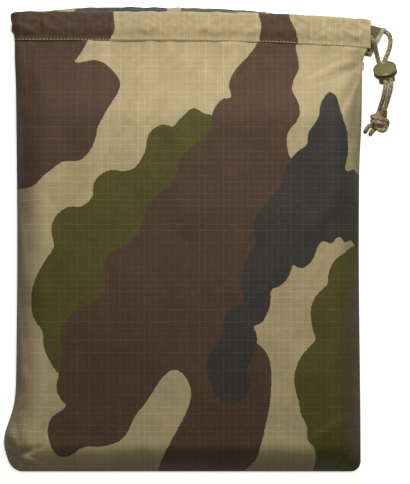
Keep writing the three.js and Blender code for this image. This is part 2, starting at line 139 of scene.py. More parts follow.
def surface(name, points, fields=None, around=False, capped=False, flip=False):
    """Joins a grid of points (rows, columns, 3), in millimetres, into quads.
    around closes the columns into a tube, and capped closes both its ends with a fan to the ring's middle."""
    rows, columns = points.shape[:2]
    index = np.arange(rows * columns).reshape(rows, columns)
    if around:
        index = np.hstack([index, index[:, :1]])
    quads = np.stack([index[:-1, :-1], index[:-1, 1:], index[1:, 1:], index[1:, :-1]], -1)
    coords = points.reshape(-1, 3)
    fields = {key: value.reshape(rows * columns, -1) for key, value in (fields or {}).items()}
    faces = quads.reshape(-1, 4).tolist()
    if capped:
        coords = np.vstack([coords, points[0].mean(0), points[-1].mean(0)])
        first, last = rows * columns, rows * columns + 1
        low, high = index[0], index[-1]
        faces += np.stack([low[1:], low[:-1], np.full(len(low) - 1, first)], -1).tolist()
        faces += np.stack([high[:-1], high[1:], np.full(len(high) - 1, last)], -1).tolist()
        for key, value in fields.items():
            ends = [value[:columns].mean(0), value[-columns:].mean(0)]
            fields[key] = np.vstack([value, ends])
    mesh = bpy.data.meshes.new(name)
    mesh.from_pydata((coords * MM).tolist(), [], faces)
    if flip:
        mesh.flip_normals()
    for key, value in fields.items():
        kind, slot = ("FLOAT", "value") if value.shape[1] == 1 else ("FLOAT_VECTOR", "vector")
        layer = mesh.attributes.new(key, kind, "POINT")
        layer.data.foreach_set(slot, np.ascontiguousarray(value, dtype=np.float32).ravel())
    mesh.shade_smooth()
    mesh.update()
    piece = bpy.data.objects.new(name, mesh)
    bpy.context.scene.collection.objects.link(piece)
    return piece


def joined(name, pieces):
    """Joins meshes made by surface() into one piece."""
    with bpy.context.temp_override(
        active_object=pieces[0], object=pieces[0], selected_objects=pieces, selected_editable_objects=pieces
    ):
        bpy.ops.object.join()
    pieces[0].name = name
    pieces[0].data.name = name
    return pieces[0]


def thicken(piece, thickness, offset=-1.0, lining=False):
    """Gives a sheet its thickness. lining paints the inner side with the second material."""
    solid = piece.modifiers.new("cloth thickness", "SOLIDIFY")
    solid.thickness = thickness
    solid.offset = offset
    solid.use_even_offset = False
    if lining:
        solid.material_offset = 1
    return piece


def ring_frames(line):
    """Two directions square to the line at each of its points, turned as little as possible along it."""
    tangent = np.gradient(line, axis=0)
    tangent /= np.linalg.norm(tangent, axis=1, keepdims=True)
    side = np.cross(tangent[0], [0.0, 0.0, 1.0])
    if np.linalg.norm(side) < 0.1:
        side = np.cross(tangent[0], [1.0, 0.0, 0.0])
    sides = np.empty_like(line)
    for k, forward in enumerate(tangent):
        side = side - forward * side.dot(forward)
        side = side / np.linalg.norm(side)
        sides[k] = side
    return tangent, sides, np.cross(tangent, sides)


def tube(line, radius, sides):
    """Points of a tube: at each point of the line, a circle of the given radius square to it."""
    _, across, up = ring_frames(line)
    turn = np.linspace(0, 2 * np.pi, sides, endpoint=False)
    circle = np.cos(turn)[None, :, None] * across[:, None] + np.sin(turn)[None, :, None] * up[:, None]
    return line[:, None] + np.broadcast_to(radius, (len(line), sides))[..., None] * circle


# ---------------------------------------------------------------- the bag's shape


def bag():
    """The bag's sizes, in millimetres."""
    return bpy.context.scene.stow_bag


def side_edge(sign, y):
    """x of a side seam at height y: straight, rounded off at the bottom corner, drawn in a little at mid
    length, and on the left flared out at the folded bottom corner and drawn in to the hem's turn."""
    half, low = bag().width / MM / 2, -bag().length / MM / 2
    up = y - low
    corner = np.where(up < 9, 9 - np.sqrt(np.clip(81 - (9 - up) ** 2, 0, None)), 0)
    plain = half - corner - 1.5 * np.cos(np.pi * y / (2 * -low)) ** 2
    if sign > 0:
        return plain + 1.5 * smooth(y, -low - 138, -low - 88)
    flared = -plain - 10 * bell(up - 26, 24)
    return lerp(flared, 6 - MOUTH_TURN - half, smooth(y, -low - 70, -low - 32))


def left_roll(line, radius):
    """How wide the left edge of a panel rolls: at the mouth it follows the hem's turn."""
    top = bag().length / MM / 2
    return lerp(radius, MOUTH_TURN, smooth(line, top - 70, top - 32))


def front_edge(x):
    """y of the folded edge of the mouth's front: level, then falling as a parabola towards the cord."""
    half, top = bag().width / MM / 2, bag().length / MM / 2
    return top - 6.7 * np.clip((x + 30) / (half + 38), 0, None) ** 2


def back_edge(x):
    """y of the folded edge of the mouth's back: a little higher, falling faster towards the cord."""
    half, top = bag().width / MM / 2, bag().length / MM / 2
    rising = 5 * smooth(x, -half, 70 - half)
    return top + rising - 18 * np.clip((x + 40) / (half + 63), 0, None) ** 2


def roll(distance, radius):
    """Height of a quarter circle at a distance in from its foot."""
    return np.sqrt(np.clip(1 - (1 - np.clip(distance / radius, 0, 1)) ** 2, 0, None))


def wall(share):
    """Rise of a full bag's side: a mix of quarter circle and sine, so that it stays steep for most of its
    width."""
    return 0.35 * roll(share, 1) + 0.65 * np.sin(np.pi / 2 * np.clip(share, 0, 1))


def front_height(x, y, line, inward):
    """z of the front panel: rolls up from the seams on quarter circles to a low crown, and falls again
    to the flattened mouth."""
    half, top = bag().width / MM / 2, bag().length / MM / 2
    height = bag().height / MM
    hem = front_edge(x) - HEM_DEEP - 1
    side = lerp(wall(inward), roll(inward, 1), np.where(x < 0, smooth(line, top - 70, top - 32), 0))
    lift = side * wall((line + top) / FRONT_ROLL)
    crown = 4 * (1 - (x / half) ** 2) * (1 - (y / top) ** 2)
    edge = lerp(12.1, np.where(x < 0, TURN_HEIGHT + 0.1, 16.3), smooth(y, top - 44, hem))
    body = lerp(height - 4 + crown, 16.3, smooth(y, top - 95, hem))
    return lerp(edge, body, lift)


def back_height(x, y, line, inward):
    """z of the back panel's underside: flat on the floor, rolled up to the seams on small quarter circles."""
    top = bag().length / MM / 2
    opening = smooth(y, top - 44, back_edge(x) - HEM_DEEP - 1)
    lift = roll(inward, 1) * roll(line + top, 16)
    return lerp(lerp(11.9, np.where(x < 0, TURN_HEIGHT - 0.1, 2.7), opening), 2.7 * opening, lift)


def creases(x, y):
    """Height of the front panel's long soft folds: each is a bell across a straight line, faded at its
    ends."""
    folds = [
        ((146, 60), (92, 2), 9, 1.3),
        ((104, -170), (139, -150), 5, 1.1),
        ((122, -199), (140, -176), 4, -1.6),
        ((-150, -165), (-112, -197), 8, 1.4),
        ((-166, -172), (-118, -196), 2.4, 2.6),
        ((-160, -186), (-122, -174), 2.8, -2.2),
        ((-152, -202), (-132, -178), 2.4, 2.0),
        ((-162, -150), (-140, -186), 4.2, 1.6),
        ((-152, -132), (-143, -176), 3.6, -1.4),
        ((-149, -84), (-136, -128), 5, 1.2),
        ((-147, -40), (-138, -92), 4, -1.1),
        ((-146, 4), (-132, -48), 6, 1.0),
        ((-146, 66), (-138, 8), 4.5, -1.0),
        ((-146, 150), (-136, 70), 5, 1.2),
        ((-138, 158), (-126, 96), 5, -0.9),
        ((152, 157), (120, 150), 3.4, 1.5),
        ((152, 151), (104, 137), 3.2, -1.3),
        ((151, 146), (132, 104), 3.6, 1.4),
        ((149, 130), (138, 78), 4.2, -1.2),
        ((-149, 30), (-133, 120), 7, 0.9),
        ((136, 140), (143, 40), 6, 0.8),
        ((150, 150), (112, 118), 8, 0.9),
        ((-146, -60), (-128, -130), 9, 0.8),
        ((-20, -199), (-36, -168), 7, 0.7),
        ((60, -199), (48, -170), 7, 0.6),
        ((138, -20), (128, -110), 8, 0.7),
    ]
    total = np.zeros_like(x)
    for start, end, width, height in folds:
        start, end = np.array(start, float), np.array(end, float)
        span = np.linalg.norm(end - start)
        forward = (end - start) / span
        along = (x - start[0]) * forward[0] + (y - start[1]) * forward[1]
        off = (x - start[0]) * forward[1] - (y - start[1]) * forward[0]
        ends = smooth(along, -0.15 * span, 0.25 * span) * (1 - smooth(along, 0.7 * span, 1.15 * span))
        total += height * bell(off, width) * ends
    return total


def front_relief(x, y, inward):
    """Wrinkles of the front panel: slow swells, puckers below the hem and beside the seams, folds that fan
    out from the cord corner, creased cloth near the mouth, and the long creases."""
    top = bag().length / MM / 2
    below = front_edge(x) - HEM_DEEP - y
    swell = 1.3 * ripple(x / 47, y / 61, 11) + 0.75 * ripple(x / 19 + 7, y / 27, 12)
    near_hem = np.exp(-np.clip(below, 0, None) / 20)
    hem = near_hem * (0.9 * ripple(x / 8, y / 30, 13) + 0.7 * crumple(x / 19, y / 13, 14))
    along_seam = 1.3 * ripple(y / 9, inward / 26, 15) + 0.8 * crumple(y / 24, inward / 30, 16)
    seam = np.exp(-inward / 13) * along_seam
    foot = np.exp(-(y + top) / 15) * (1.3 * ripple(x / 9, y / 40, 17) + 0.7 * crumple(x / 22, y / 30, 20))
    reach = np.hypot(x - 170, y - 178)
    fan = np.exp(-reach / 46) * 2.2 * ripple(np.arctan2(y - 178, x - 170) * 7, reach / 60, 18)
    corner = np.exp(-np.hypot(x + 155, y + 180) / 26) * 7.0 * crumple(x / 19, y / 16, 21)
    fine = 0.12 * ripple(x / 5, y / 6, 19) + 0.15 * crumple(x / 44, y / 38, 23)
    settled = smooth(inward, 0.3, 7) * smooth(y + top, 0.3, 7)
    open_cloth = swell + seam + foot + fan + fine + corner + creases(x, y)
    return settled * (smooth(below, -3, 3) * open_cloth + smooth(below, -2, 2) * hem)


def edge_steps(radius, count):
    """Distances in from a rolled edge, even in angle round its quarter circle."""
    return radius * (1 - np.cos(np.linspace(0, np.pi / 2, count)))


def panel_grid(radius, spread, edge_of, height_of, relief_of):
    """Points of one panel: rows from the bottom seam to inside the hem's legs, columns from seam to seam.
    Columns stand close together where the panel rolls over, and spread is how far its right edge flares."""
    top = bag().length / MM / 2
    lows = -top + edge_steps(radius, 22)
    rows = np.concatenate([lows, np.linspace(lows[-1], top - 95, 112)[1:]])
    climbing = np.linspace(0, 1, 56)[1:]
    line = np.concatenate([rows, top - 95 + climbing * 70])
    sides = edge_steps(radius, 22) / radius
    left, far = side_edge(-1, line)[:, None], side_edge(1, line)[:, None]
    far = far + spread * smooth(line[:, None], top - 44, top - 22)
    turned = left_roll(line, radius)[:, None]
    inner = np.linspace(0, 1, 136)[1:-1]
    middle = lerp(left + turned, far - radius, inner)
    x = np.hstack([left + turned * sides, middle, far - radius * sides[::-1]])
    y = np.broadcast_to(line[:, None], x.shape).copy()
    y[len(rows) :] = lerp(top - 95, edge_of(x[len(rows) :]) - HEM_DEEP + TONGUE, climbing[:, None])
    share = np.minimum((x - left) / turned, (far - x) / radius)
    z = height_of(x, y, line[:, None], share) + relief_of(x, y, np.minimum(x - left, far - x))
    return np.stack([x, y, z], -1)


def cloth_run(points):
    """Place on the cloth, in millimetres: x and y, plus what the fabric is longer than its plan by, on the
    average of each column and of each row, so that the weave stays straight and follows the rolled edges."""
    across = np.linalg.norm(np.diff(points, axis=1), axis=2) - np.abs(np.diff(points[..., 0], axis=1))
    down = np.linalg.norm(np.diff(points, axis=0), axis=2) - np.abs(np.diff(points[..., 1], axis=0))
    more_x = np.concatenate([[0], np.cumsum(np.median(across, axis=0))])
    more_y = np.concatenate([[0], np.cumsum(np.median(down, axis=1))])
    more_x -= more_x[len(more_x) // 2]
    more_y -= more_y[len(more_y) // 2]
    return np.stack([points[..., 0] + more_x, points[..., 1] + more_y[:, None], 0 * points[..., 0]], -1)


# ---------------------------------------------------------------- the printed pattern, and the painted highlight and shade of the cloth's ridges and hollows


# Ridges are painted lighter and hollows darker from this field: a painted highlight and painted shade of the
# creases, mixed with wear.
def relief_shade_and_wear(relief):
    """How much each point stands out from its neighbours a few rows and columns away, from -1 to 1."""
    near = sum(np.roll(relief, step, axis) for axis in (0, 1) for step in (-3, 3)) / 4
    return np.clip((relief - near) / 0.28, -1, 1)


def signed_distance(x, y, outline):
    """Distance from each point to a closed outline, positive inside it and negative outside."""
    corners = smooth_line(outline, 3.0, closed=True)
    points = np.stack([x.ravel(), y.ravel()], -1)
    nearest = np.full(len(points), 1e9)
    inside = np.zeros(len(points), bool)
    for a, b in zip(corners, np.roll(corners, -1, axis=0)):
        edge = b - a
        reach = points - a
        along = np.clip(reach @ edge / max(edge @ edge, 1e-9), 0, 1)
        nearest = np.minimum(nearest, ((reach - along[:, None] * edge) ** 2).sum(1))
        crosses = (a[1] > points[:, 1]) != (b[1] > points[:, 1])
        if crosses.any():
            cut = a[0] + (points[:, 1] - a[1]) * edge[0] / (edge[1] if edge[1] else 1e-9)
            inside ^= crosses & (points[:, 0] < cut)
    return (np.where(inside, 1, -1) * np.sqrt(nearest)).reshape(x.shape)


BROWN_SHOULDER = [
    (-178, 215), (-84, 190), (-85, 176), (-90, 166), (-95, 158.5), (-97.5, 155), (-97.5, 154),
    (-94, 154), (-79, 156), (-70, 152), (-64, 146), (-60, 141), (-58, 134), (-60, 127), (-65, 119),
    (-69, 112), (-73, 105), (-77, 97), (-78, 90), (-81, 82), (-86, 74), (-93, 69), (-107, 68),
    (-114, 63), (-122, 57), (-127, 52), (-133, 47), (-148, 45), (-180, 44),
]
GREEN_LEFT = [
    (5, 114), (-4, 107), (-9, 102), (-12, 98), (-21, 100), (-28, 97), (-33, 92), (-35, 86), (-36, 78),
    (-40, 70), (-45, 63), (-53, 60), (-65, 61), (-73, 58), (-79, 52), (-81, 46), (-81, 39), (-85, 34),
    (-91, 30), (-100, 30), (-107, 27), (-113, 21), (-116, 14), (-116, 6), (-114, -4), (-121, -15),
    (-128, -27), (-133, -40), (-134, -52), (-133, -62), (-129, -70), (-124, -76), (-123, -89),
    (-117, -103), (-109, -113), (-95, -108), (-96, -80), (-84, -60), (-62, -42), (-60, -20), (-38, -4),
    (-26, 25), (-8, 40), (3, 62), (14, 78), (26, 90), (28, 104), (20, 108), (14, 109),
]
BROWN_MIDDLE = [
    (62, 215), (63, 190), (61, 176), (58, 168), (51, 159), (42, 149), (37, 141), (35, 133), (37, 123),
    (30, 122), (24, 116), (20.5, 108), (19.5, 96), (17, 90), (13, 86), (6, 82), (-2, 76), (-7, 68),
    (-10, 57), (-17, 47), (-26, 40), (-34, 31), (-37, 22), (-44, 5), (-57, -5), (-65, -9), (-70, -16),
    (-71, -25), (-70.5, -40), (-73, -46), (-80, -51), (-93, -58), (-102, -65), (-107, -72), (-109, -81),
    (-107, -95), (-110, -113), (-112, -123), (-111, -130), (-107, -136), (-103.5, -140), (-108, -144),
    (-114, -148), (-118, -153), (-119.5, -160), (-119, -167), (-116, -176), (-112, -182), (-107, -184),
    (-101, -183), (-96, -180), (-92, -176.5), (-86, -175), (-77, -175), (-69, -174), (-60, -171),
    (-53, -165), (-49, -157), (-45, -149), (-38, -140), (-31, -130), (-24, -119), (-17, -111.5),
    (-12, -109), (-7, -110.5), (-1, -117), (2.5, -126), (2, -136), (-3, -149), (-10, -162), (-18, -177),
    (-23, -188), (-26, -199), (-26, -230), (48, -230), (47, -199), (51, -195), (58, -187), (62, -175),
    (66, -158), (69.5, -141), (71, -124), (71, -111), (69, -99), (64, -91), (56, -84), (45, -72),
    (58, -50), (60, -25), (75, 0), (75, 25), (85, 46), (95, 57), (92, 66), (86, 74), (84.5, 90),
    (87, 96), (92, 101), (95, 108), (95, 116), (92, 123), (89, 130), (91, 139), (95, 148), (95, 155),
    (93, 166), (92, 182), (90, 215),
]
BLACK_RIGHT = [
    (121, 128), (117, 124), (113, 117), (112, 109), (108, 100), (103, 94), (101, 82), (95, 78),
    (89, 72), (85, 66), (82.5, 59), (79, 48), (71, 38), (63, 28), (57, 20), (56, 11), (57, 1),
    (51, -14), (47, -23), (45, -34), (47, -52), (39, -56), (32, -63), (30, -69), (30, -77), (27, -85),
    (21, -91), (17, -99), (16, -107), (18, -117), (22, -128), (28, -135.5), (35, -138), (43, -137),
    (49, -132), (52.5, -123), (51, -109), (53, -101), (58, -90), (59, -80), (56, -72.5), (63, -69),
    (66, -64), (69.5, -57), (70.5, -48), (71, -41), (76, -39), (81, -36), (85, -31), (88, -25),
    (89, -19.5), (93, -22), (98, -22.5), (104, -18.5), (108, -12), (111, -4), (115.5, 0.5), (122, -2),
    (129, 4.5), (134.5, -1), (140, 1.5), (143, -3), (175, -3), (175, 60), (147, 57), (143, 62),
    (135, 60), (137, 77), (136, 95), (133, 103), (131, 110), (129, 118), (126, 125),
]
GREEN_RIGHT = [
    (142, -4), (135, -9), (126, -15), (122, -21), (119.5, -29), (118.5, -37), (113, -42), (107.5, -49),
    (105, -57), (105, -67), (107, -77), (109, -83), (104, -89), (97, -97), (93, -105), (90.5, -116),
    (92, -128), (94.5, -137), (97, -149), (101, -156), (102.5, -170), (107, -175), (109, -182),
    (109, -190), (107, -199), (107, -230), (180, -230), (180, -6),
]
HEM_BROWN_LEFT = [
    (-185, 230), (-68, 230), (-64, 192), (-63, 185), (-65, 178), (-71, 170), (-90, 160), (-185, 160),
]
HEM_BROWN_MIDDLE = [
    (55, 230), (60, 198), (63, 186), (61, 172), (60, 160), (94, 160), (92, 183), (88, 191), (82, 230),
]
FAR_OUT = -60.0


def body_print(x, y):
    """The four-colour print on the body: signed distances of its green, brown and black patches."""
    green = np.maximum(signed_distance(x, y, GREEN_LEFT), signed_distance(x, y, GREEN_RIGHT))
    brown = np.maximum(signed_distance(x, y, BROWN_SHOULDER), signed_distance(x, y, BROWN_MIDDLE))
    return {"green": green, "brown": brown, "black": signed_distance(x, y, BLACK_RIGHT)}


def hem_print(x, y, back):
    """The print on the hem. back goes from 0 at its front to 1 at its back."""
    front = np.maximum(signed_distance(x, y, HEM_BROWN_LEFT), signed_distance(x, y, HEM_BROWN_MIDDLE))
    green = np.maximum(26 - np.hypot(x - 30, (y - 196) * 1.6) * 0.7, 4.6 - np.abs(x - 163.5))
    black = np.maximum(34 - np.hypot(x + 58, (y - 192) * 1.8) * 0.8, 2.6 - np.abs(x - 156.5))
    return {
        "green": np.where(back > 0.5, green, FAR_OUT),
        "brown": np.where(back > 0.5, FAR_OUT, front),
        "black": np.where(back > 0.5, black, FAR_OUT),
    }


# ---------------------------------------------------------------- the hem that holds the cord


def hem_path(count):
    """Distances along the casing's path: its front from right to left, the turn, and its back."""
    half = bag().width / MM / 2
    front_end, turn_x, back_end = half + 8.4, 6 - half, half + 23
    front, turn, back = front_end - turn_x, np.pi * CORD_TURN, back_end - turn_x
    return front, turn, back, np.linspace(0, front + turn + back, count)


def hem_point(s, u, v):
    """A point of the casing: s along its path, u outward from the cord's middle, v up from the folded edge.
    The front runs level in z, the turn is a half circle about a line along y, and the back runs below it,
    its end cut on a slant."""
    half = bag().width / MM / 2
    front, turn, back, _ = hem_path(2)
    s, u, v = np.broadcast_arrays(np.asarray(s, float), np.asarray(u, float), np.asarray(v, float))
    turn_x = 6 - half
    middle = 9.5
    angle = np.pi / 2 + np.clip((s - front) / turn, 0, 1) * np.pi
    x_front = half + 8.4 - s
    x_back = turn_x + (s - front - turn)
    in_front, in_back = s <= front, s >= front + turn
    radius = CORD_TURN + u
    x = np.where(in_front, x_front, np.where(in_back, x_back, turn_x + radius * np.cos(angle)))
    z = middle + radius * np.sin(angle)
    turned = np.clip((s - front) / turn, 0, 1)
    edge_x = np.where(in_front, x_front, np.where(in_back, x_back, turn_x))
    y = lerp(front_edge(edge_x), back_edge(edge_x), turned) + v
    slant = 0.53 * v * smooth(x_back, half - 17, half + 23)
    return np.stack([x + np.where(in_back, slant, 0), y, z], -1), edge_x, turned


def hem_gather(s, v):
    """How far the hem's wall is pushed out by its puckers: strongest at its left end and at the cord."""
    _, edge_x, turned = hem_point(s, 0, v)
    half = bag().width / MM / 2
    left = 1 - smooth(edge_x, 8 - half, 60 - half)
    right = smooth(edge_x, half - 48, half + 2)
    tension = 0.75 + 0.9 * left + 0.65 * right
    belly = np.sin(np.pi * np.clip(-v / 25.5, 0.04, 0.95)) ** 0.5
    puckers = 0.7 * ripple(s / 5.0, v / 24 + turned * 3, 31) + 0.6 * ripple(s / 11 + 3, v / 14, 32)
    slanting = 0.8 * ripple((s + 1.4 * v) / 9, (s - v) / 34, 36)
    slanting = slanting + 0.5 * ripple((s - 1.8 * v) / 7, (s + v) / 30, 37)
    folds = puckers + slanting + 0.7 * crumple(s / 19, v / 9, 35)
    return tension * belly * folds + 0.12 * ripple(s / 2.3, v / 4, 33)


def hem_profile(count):
    """Middle line of the hem's folded strip, from the foot of its inner leg over the fold to the foot of
    its outer leg: two legs either side of the panel, widening to a round channel for the cord."""
    leg = np.linspace(-HEM_DEEP, -3.1, count)
    half = lerp(0.6, CHANNEL_MIDDLE, smooth(leg, -23.5, -14))
    bend = np.linspace(0, np.pi, 9)[1:-1]
    u = np.concatenate([-half, -CHANNEL_MIDDLE * np.cos(bend), half[::-1]])
    v = np.concatenate([leg, -3.1 + CHANNEL_MIDDLE * np.sin(bend), leg[::-1]])
    return u, v


def hem_wall(s, u, v):
    """Points of the hem's puckered wall."""
    pushed = hem_gather(s, v)
    swell = np.maximum(pushed, 0.35 * pushed) * np.sign(u) * smooth(np.abs(u), 0.4, 1.6)
    lift = 0.5 * ripple(s / 7, 0, 34) * smooth(v, -12, 0)
    points, edge_x, turned = hem_point(s, u + swell, v + lift)
    points[..., 2] = np.maximum(points[..., 2], 0.35)
    return points, edge_x, turned


def make_hem():
    """The folded strip that holds the drawcord: its profile carried round the mouth and puckered."""
    front, turn, back, s = hem_path(680)
    u, v = hem_profile(25)
    s, u, v = s[:, None], u[None, :], v[None, :]
    points, edge_x, turned = hem_wall(s, u, v)
    run = np.stack(np.broadcast_arrays(s * 1.0, v * np.sign(u) + 0 * s, 0 * s + 0 * u), -1)
    prints = hem_print(edge_x, points[..., 1], turned + 0 * u)
    # The hem's pucker ridges get a painted highlight and its hollows painted shade, together with wear, from
    # this field.
    piece = surface("mouth_hem", points, {"cloth": run, "relief_shade_and_wear": relief_shade_and_wear(hem_gather(s, v)), **prints})
    inside = ((turned + 0 * u)[1:, 1:] > 0.5) & (u[:, 1:] < 0)
    thicken(piece, 0.4 * MM, 0.0)
    return piece, front + turn + back, inside.ravel()


def yarn(line, radius, sides=8):
    """A short length of thread or cord with rounded ends, as grid points."""
    along = np.linspace(0, 1, len(line))
    ends = np.sqrt(np.clip(1 - np.abs(2 * along - 1) ** 6, 0.02, 1))
    return tube(line, radius * ends[:, None], sides)


def stitch_row(name, starts, ends, radius, rise):
    """A row of stitches: each a short arched capsule from its start to its end, rising by rise."""
    steps, sides = 6, 6
    t = np.linspace(0, 1, steps)[None, :, None]
    up = np.array([0, 0, 1.0]) * rise[:, None, None]
    line = starts[:, None] + (ends - starts)[:, None] * t + up * np.sin(np.pi * t)
    forward = ends - starts
    forward /= np.linalg.norm(forward, axis=1, keepdims=True)
    across = np.cross(forward, [0, 0, 1.0])
    turn = np.linspace(0, 2 * np.pi, sides, endpoint=False)
    circle = across[:, None] * np.cos(turn)[None, :, None]
    circle = circle + np.array([0, 0, 1.0]) * np.sin(turn)[None, :, None]
    thin = radius * np.array([0.35, 0.85, 1, 1, 0.85, 0.35])
    points = line[:, :, None] + thin[None, :, None, None] * circle[:, None]
    count = len(points)
    index = np.arange(count * steps * sides).reshape(count, steps, sides)
    index = np.concatenate([index, index[..., :1]], axis=2)
    quads = np.stack([index[:, :-1, :-1], index[:, 1:, :-1], index[:, 1:, 1:], index[:, :-1, 1:]], -1)
    faces = quads.reshape(-1, 4).tolist()
    faces += index[:, 0, :-1].tolist() + index[:, -1, -2::-1].tolist()
    mesh = bpy.data.meshes.new(name)
    mesh.from_pydata((points.reshape(-1, 3) * MM).tolist(), [], faces)
    mesh.shade_smooth()
    piece = bpy.data.objects.new(name, mesh)
    bpy.context.scene.collection.objects.link(piece)
    return piece


def hem_stitches():
    """The stitch row that holds the hem, 3 mm to a stitch, on its front and its back."""
    front, turn, back, _ = hem_path(2)
    first = np.arange(1.5, front + turn + back - 14, 3.0)
    inset = -24.3
    starts, _, turned = hem_wall(first, 0.9, np.full_like(first, inset))
    ends, _, _ = hem_wall(first + 2.5, 0.9, np.full_like(first, inset))
    return stitch_row("hem_stitching", starts, ends, 0.36, np.where(turned > 0.5, -0.25, 0.25))


def held_run_line():
    """Route of the drawcord inside the hem: nine millimetres below the fold, lower where it comes out in
    front and higher where it comes out behind."""
    half = bag().width / MM / 2
    front, turn, back, _ = hem_path(2)
    s = np.linspace(0.2, front + turn + back - 2.7, 560)
    _, edge_x, turned = hem_point(s, 0, 0)
    out = smooth(edge_x, half - 40, np.where(turned > 0.5, half + 20.5, half + 8.4))
    drop = lerp(9, np.where(turned > 0.5, 3.8, 16), out)
    points, _, _ = hem_point(s, 0, 0)
    return points - np.stack([0 * s, drop, 0 * s], -1)


# ---------------------------------------------------------------- drawcord and lock

CORNER = (149.0, 198.5, 0.0)


LOCK_FACE = np.array([20.4, -48.8, 15.3])  # middle of the button's face, from the mouth's corner
LOCK_OUT = np.array([-0.195335, 0.728993, 0.656059])  # out of that face
LOCK_ACROSS = np.array([0.965926, 0.258819, 0.0])
LOCK_ALONG = np.array([0.169817, -0.633767, 0.75471])  # along the strands


def in_lock(across, along, depth):
    """A point in the lock: across the strands, along them, and below the button's face."""
    across, along, depth = np.broadcast_arrays(*(np.asarray(q, float) for q in (across, along, depth)))
    place = LOCK_FACE + np.array(CORNER)
    in_plane = across[..., None] * LOCK_ACROSS + along[..., None] * LOCK_ALONG
    return place + in_plane - depth[..., None] * LOCK_OUT


def lathe(name, profile, sides=72):
    """A profile of (radius, depth) turned about the lock's axis."""
    radius, depth = np.array(profile, float).T
    turn = np.linspace(0, 2 * np.pi, sides, endpoint=False)
    radius, depth = radius[:, None], depth[:, None]
    points = in_lock(radius * np.cos(turn), radius * np.sin(turn), depth + 0 * turn)
    return surface(name, points, around=True, capped=True)


def bar(name, across, along, depth, bend=6):
    """A block with rounded corners in the lock's frame: a superellipse section carried down in depth, drawn
    in a little at both ends."""
    turn = np.linspace(0, 2 * np.pi, 40, endpoint=False)
    ring = np.sign(np.cos(turn)) * np.abs(np.cos(turn)) ** (2 / bend)
    side = np.sign(np.sin(turn)) * np.abs(np.sin(turn)) ** (2 / bend)
    level = np.concatenate([[0, 0, 0.06, 0.18], np.linspace(0.3, 0.7, 3), [0.82, 0.94, 1, 1]])
    inset = np.array([0.6, 0.18, 0.06, 0, 0, 0, 0, 0, 0.06, 0.18, 0.6])[:, None]
    middle = [(low + high) / 2 for low, high in (across, along)]
    half = [(high - low) / 2 for low, high in (across, along)]
    points = in_lock(
        middle[0] + np.maximum(half[0] - inset, 0.1) * ring,
        middle[1] + np.maximum(half[1] - inset, 0.1) * side,
        lerp(depth[0], depth[1], level)[:, None] + 0 * turn,
    )
    return surface(name, points, around=True, capped=True)


def strand_points():
    """Routes of the two free strands, from the hem's end through the lock, from the mouth's corner."""
    middle = LOCK_FACE - CORD_DEPTH * LOCK_OUT
    through = lambda side: [
        middle + side * STRAND_OFFSET * LOCK_ACROSS + a * LOCK_ALONG for a in (-7, -3.5, 0, 3.5, 7.5)
    ]
    front = [
        (5.4, -20.4, 15.9), (8.8, -23.2, 15.7), (11.0, -26.6, 14.2), (12.6, -30.8, 10.8),
        (14.0, -35.2, 6.6),
        (15.4, -39.6, 3.5), (16.7, -43.8, 2.4), (17.6, -47.0, 3.2), *through(-1),
        (21.1, -62.4, 18.7), (20.7, -66.6, 19.9), (19.8, -71.2, 19.0), (18.6, -76.4, 15.7),
        (17.2, -81.4, 11.6),
    ]
    back = [
        (18.0, -15.6, 3.1), (21.4, -16.4, 3.1), (24.8, -18.7, 2.9), (26.4, -22.8, 2.5), (26.0, -28.6, 2.35),
        (24.3, -34.4, 2.35), (22.3, -39.2, 2.35), (21.1, -42.6, 2.45), (21.9, -45.8, 3.2), *through(1),
        (25.5, -61.4, 18.8), (25.2, -65.8, 20.2), (24.3, -70.8, 19.7), (22.9, -76.2, 17.1),
        (21.6, -81.0, 14.7),
    ]
    return np.array(front) + CORNER, np.array(back) + CORNER


def knot_points():
    """Routes of the two strands through the overhand knot and out to their ends, from the knot's middle:
    down the core, round a loop at the lower right, once round the core, and back down inside it."""
    front = [
        (0.3, 8.8, 1.4), (-1.0, 5.5, 1.6), (-1.8, 1.5, 1.4), (-1.6, -3.0, 1.5), (-0.2, -6.4, 2.0),
        (3.2, -8.2, 2.2), (6.0, -6.2, 1.9), (4.7, -2.8, 3.1), (1.8, -2.0, 4.7), (-1.8, -1.2, 4.7),
        (-4.7, -0.4, 2.5), (-5.3, 0.4, -0.9), (-3.5, 1.2, -3.8), (0, 2.0, -5.0), (3.5, 2.8, -3.8),
        (5.3, 3.6, -0.9), (5.2, 6.0, 0.2), (3.0, 7.0, -1.0), (0.8, 4.5, -1.9), (-0.6, 0.5, -1.9),
        (-2.6, -2.8, -2.2), (-5.4, -3.6, -2.7), (-8.1, -4.2, -3.0), (-10.3, -7.2, -4.1),
        (-12.0, -10.6, -4.9),
    ]
    back = [
        (4.4, 9.4, 5.5), (2.8, 6.2, 2.6), (1.9, 2.0, 1.4), (1.9, -2.5, 1.2), (3.6, -5.4, 0.2),
        (6.4, -5.0, -1.4), (7.8, -2.4, -1.0), (6.9, 0.3, 1.0), (4.1, 1.0, 3.2), (1.4, 1.7, 4.8),
        (-1.8, 2.4, 4.7), (-4.7, 3.2, 2.5), (-5.3, 4.0, -0.9), (-3.5, 4.8, -3.8), (0, 5.6, -5.0),
        (3.5, 6.4, -3.8), (5.6, 7.0, -0.9), (5.2, 8.6, 0.8), (3.4, 8.6, -1.0), (2.4, 6.4, -2.0),
        (1.6, 2.5, -2.0), (1.0, -2.0, -2.2), (-0.8, -5.0, -2.8), (-2.6, -6.4, -3.4), (-4.3, -7.6, -3.8),
        (-5.9, -9.6, -4.6), (-7.3, -12.8, -4.9),
    ]
    middle = np.array([15.7, -94.4, 7.2]) + CORNER
    return np.array(front) + middle, np.array(back) + middle


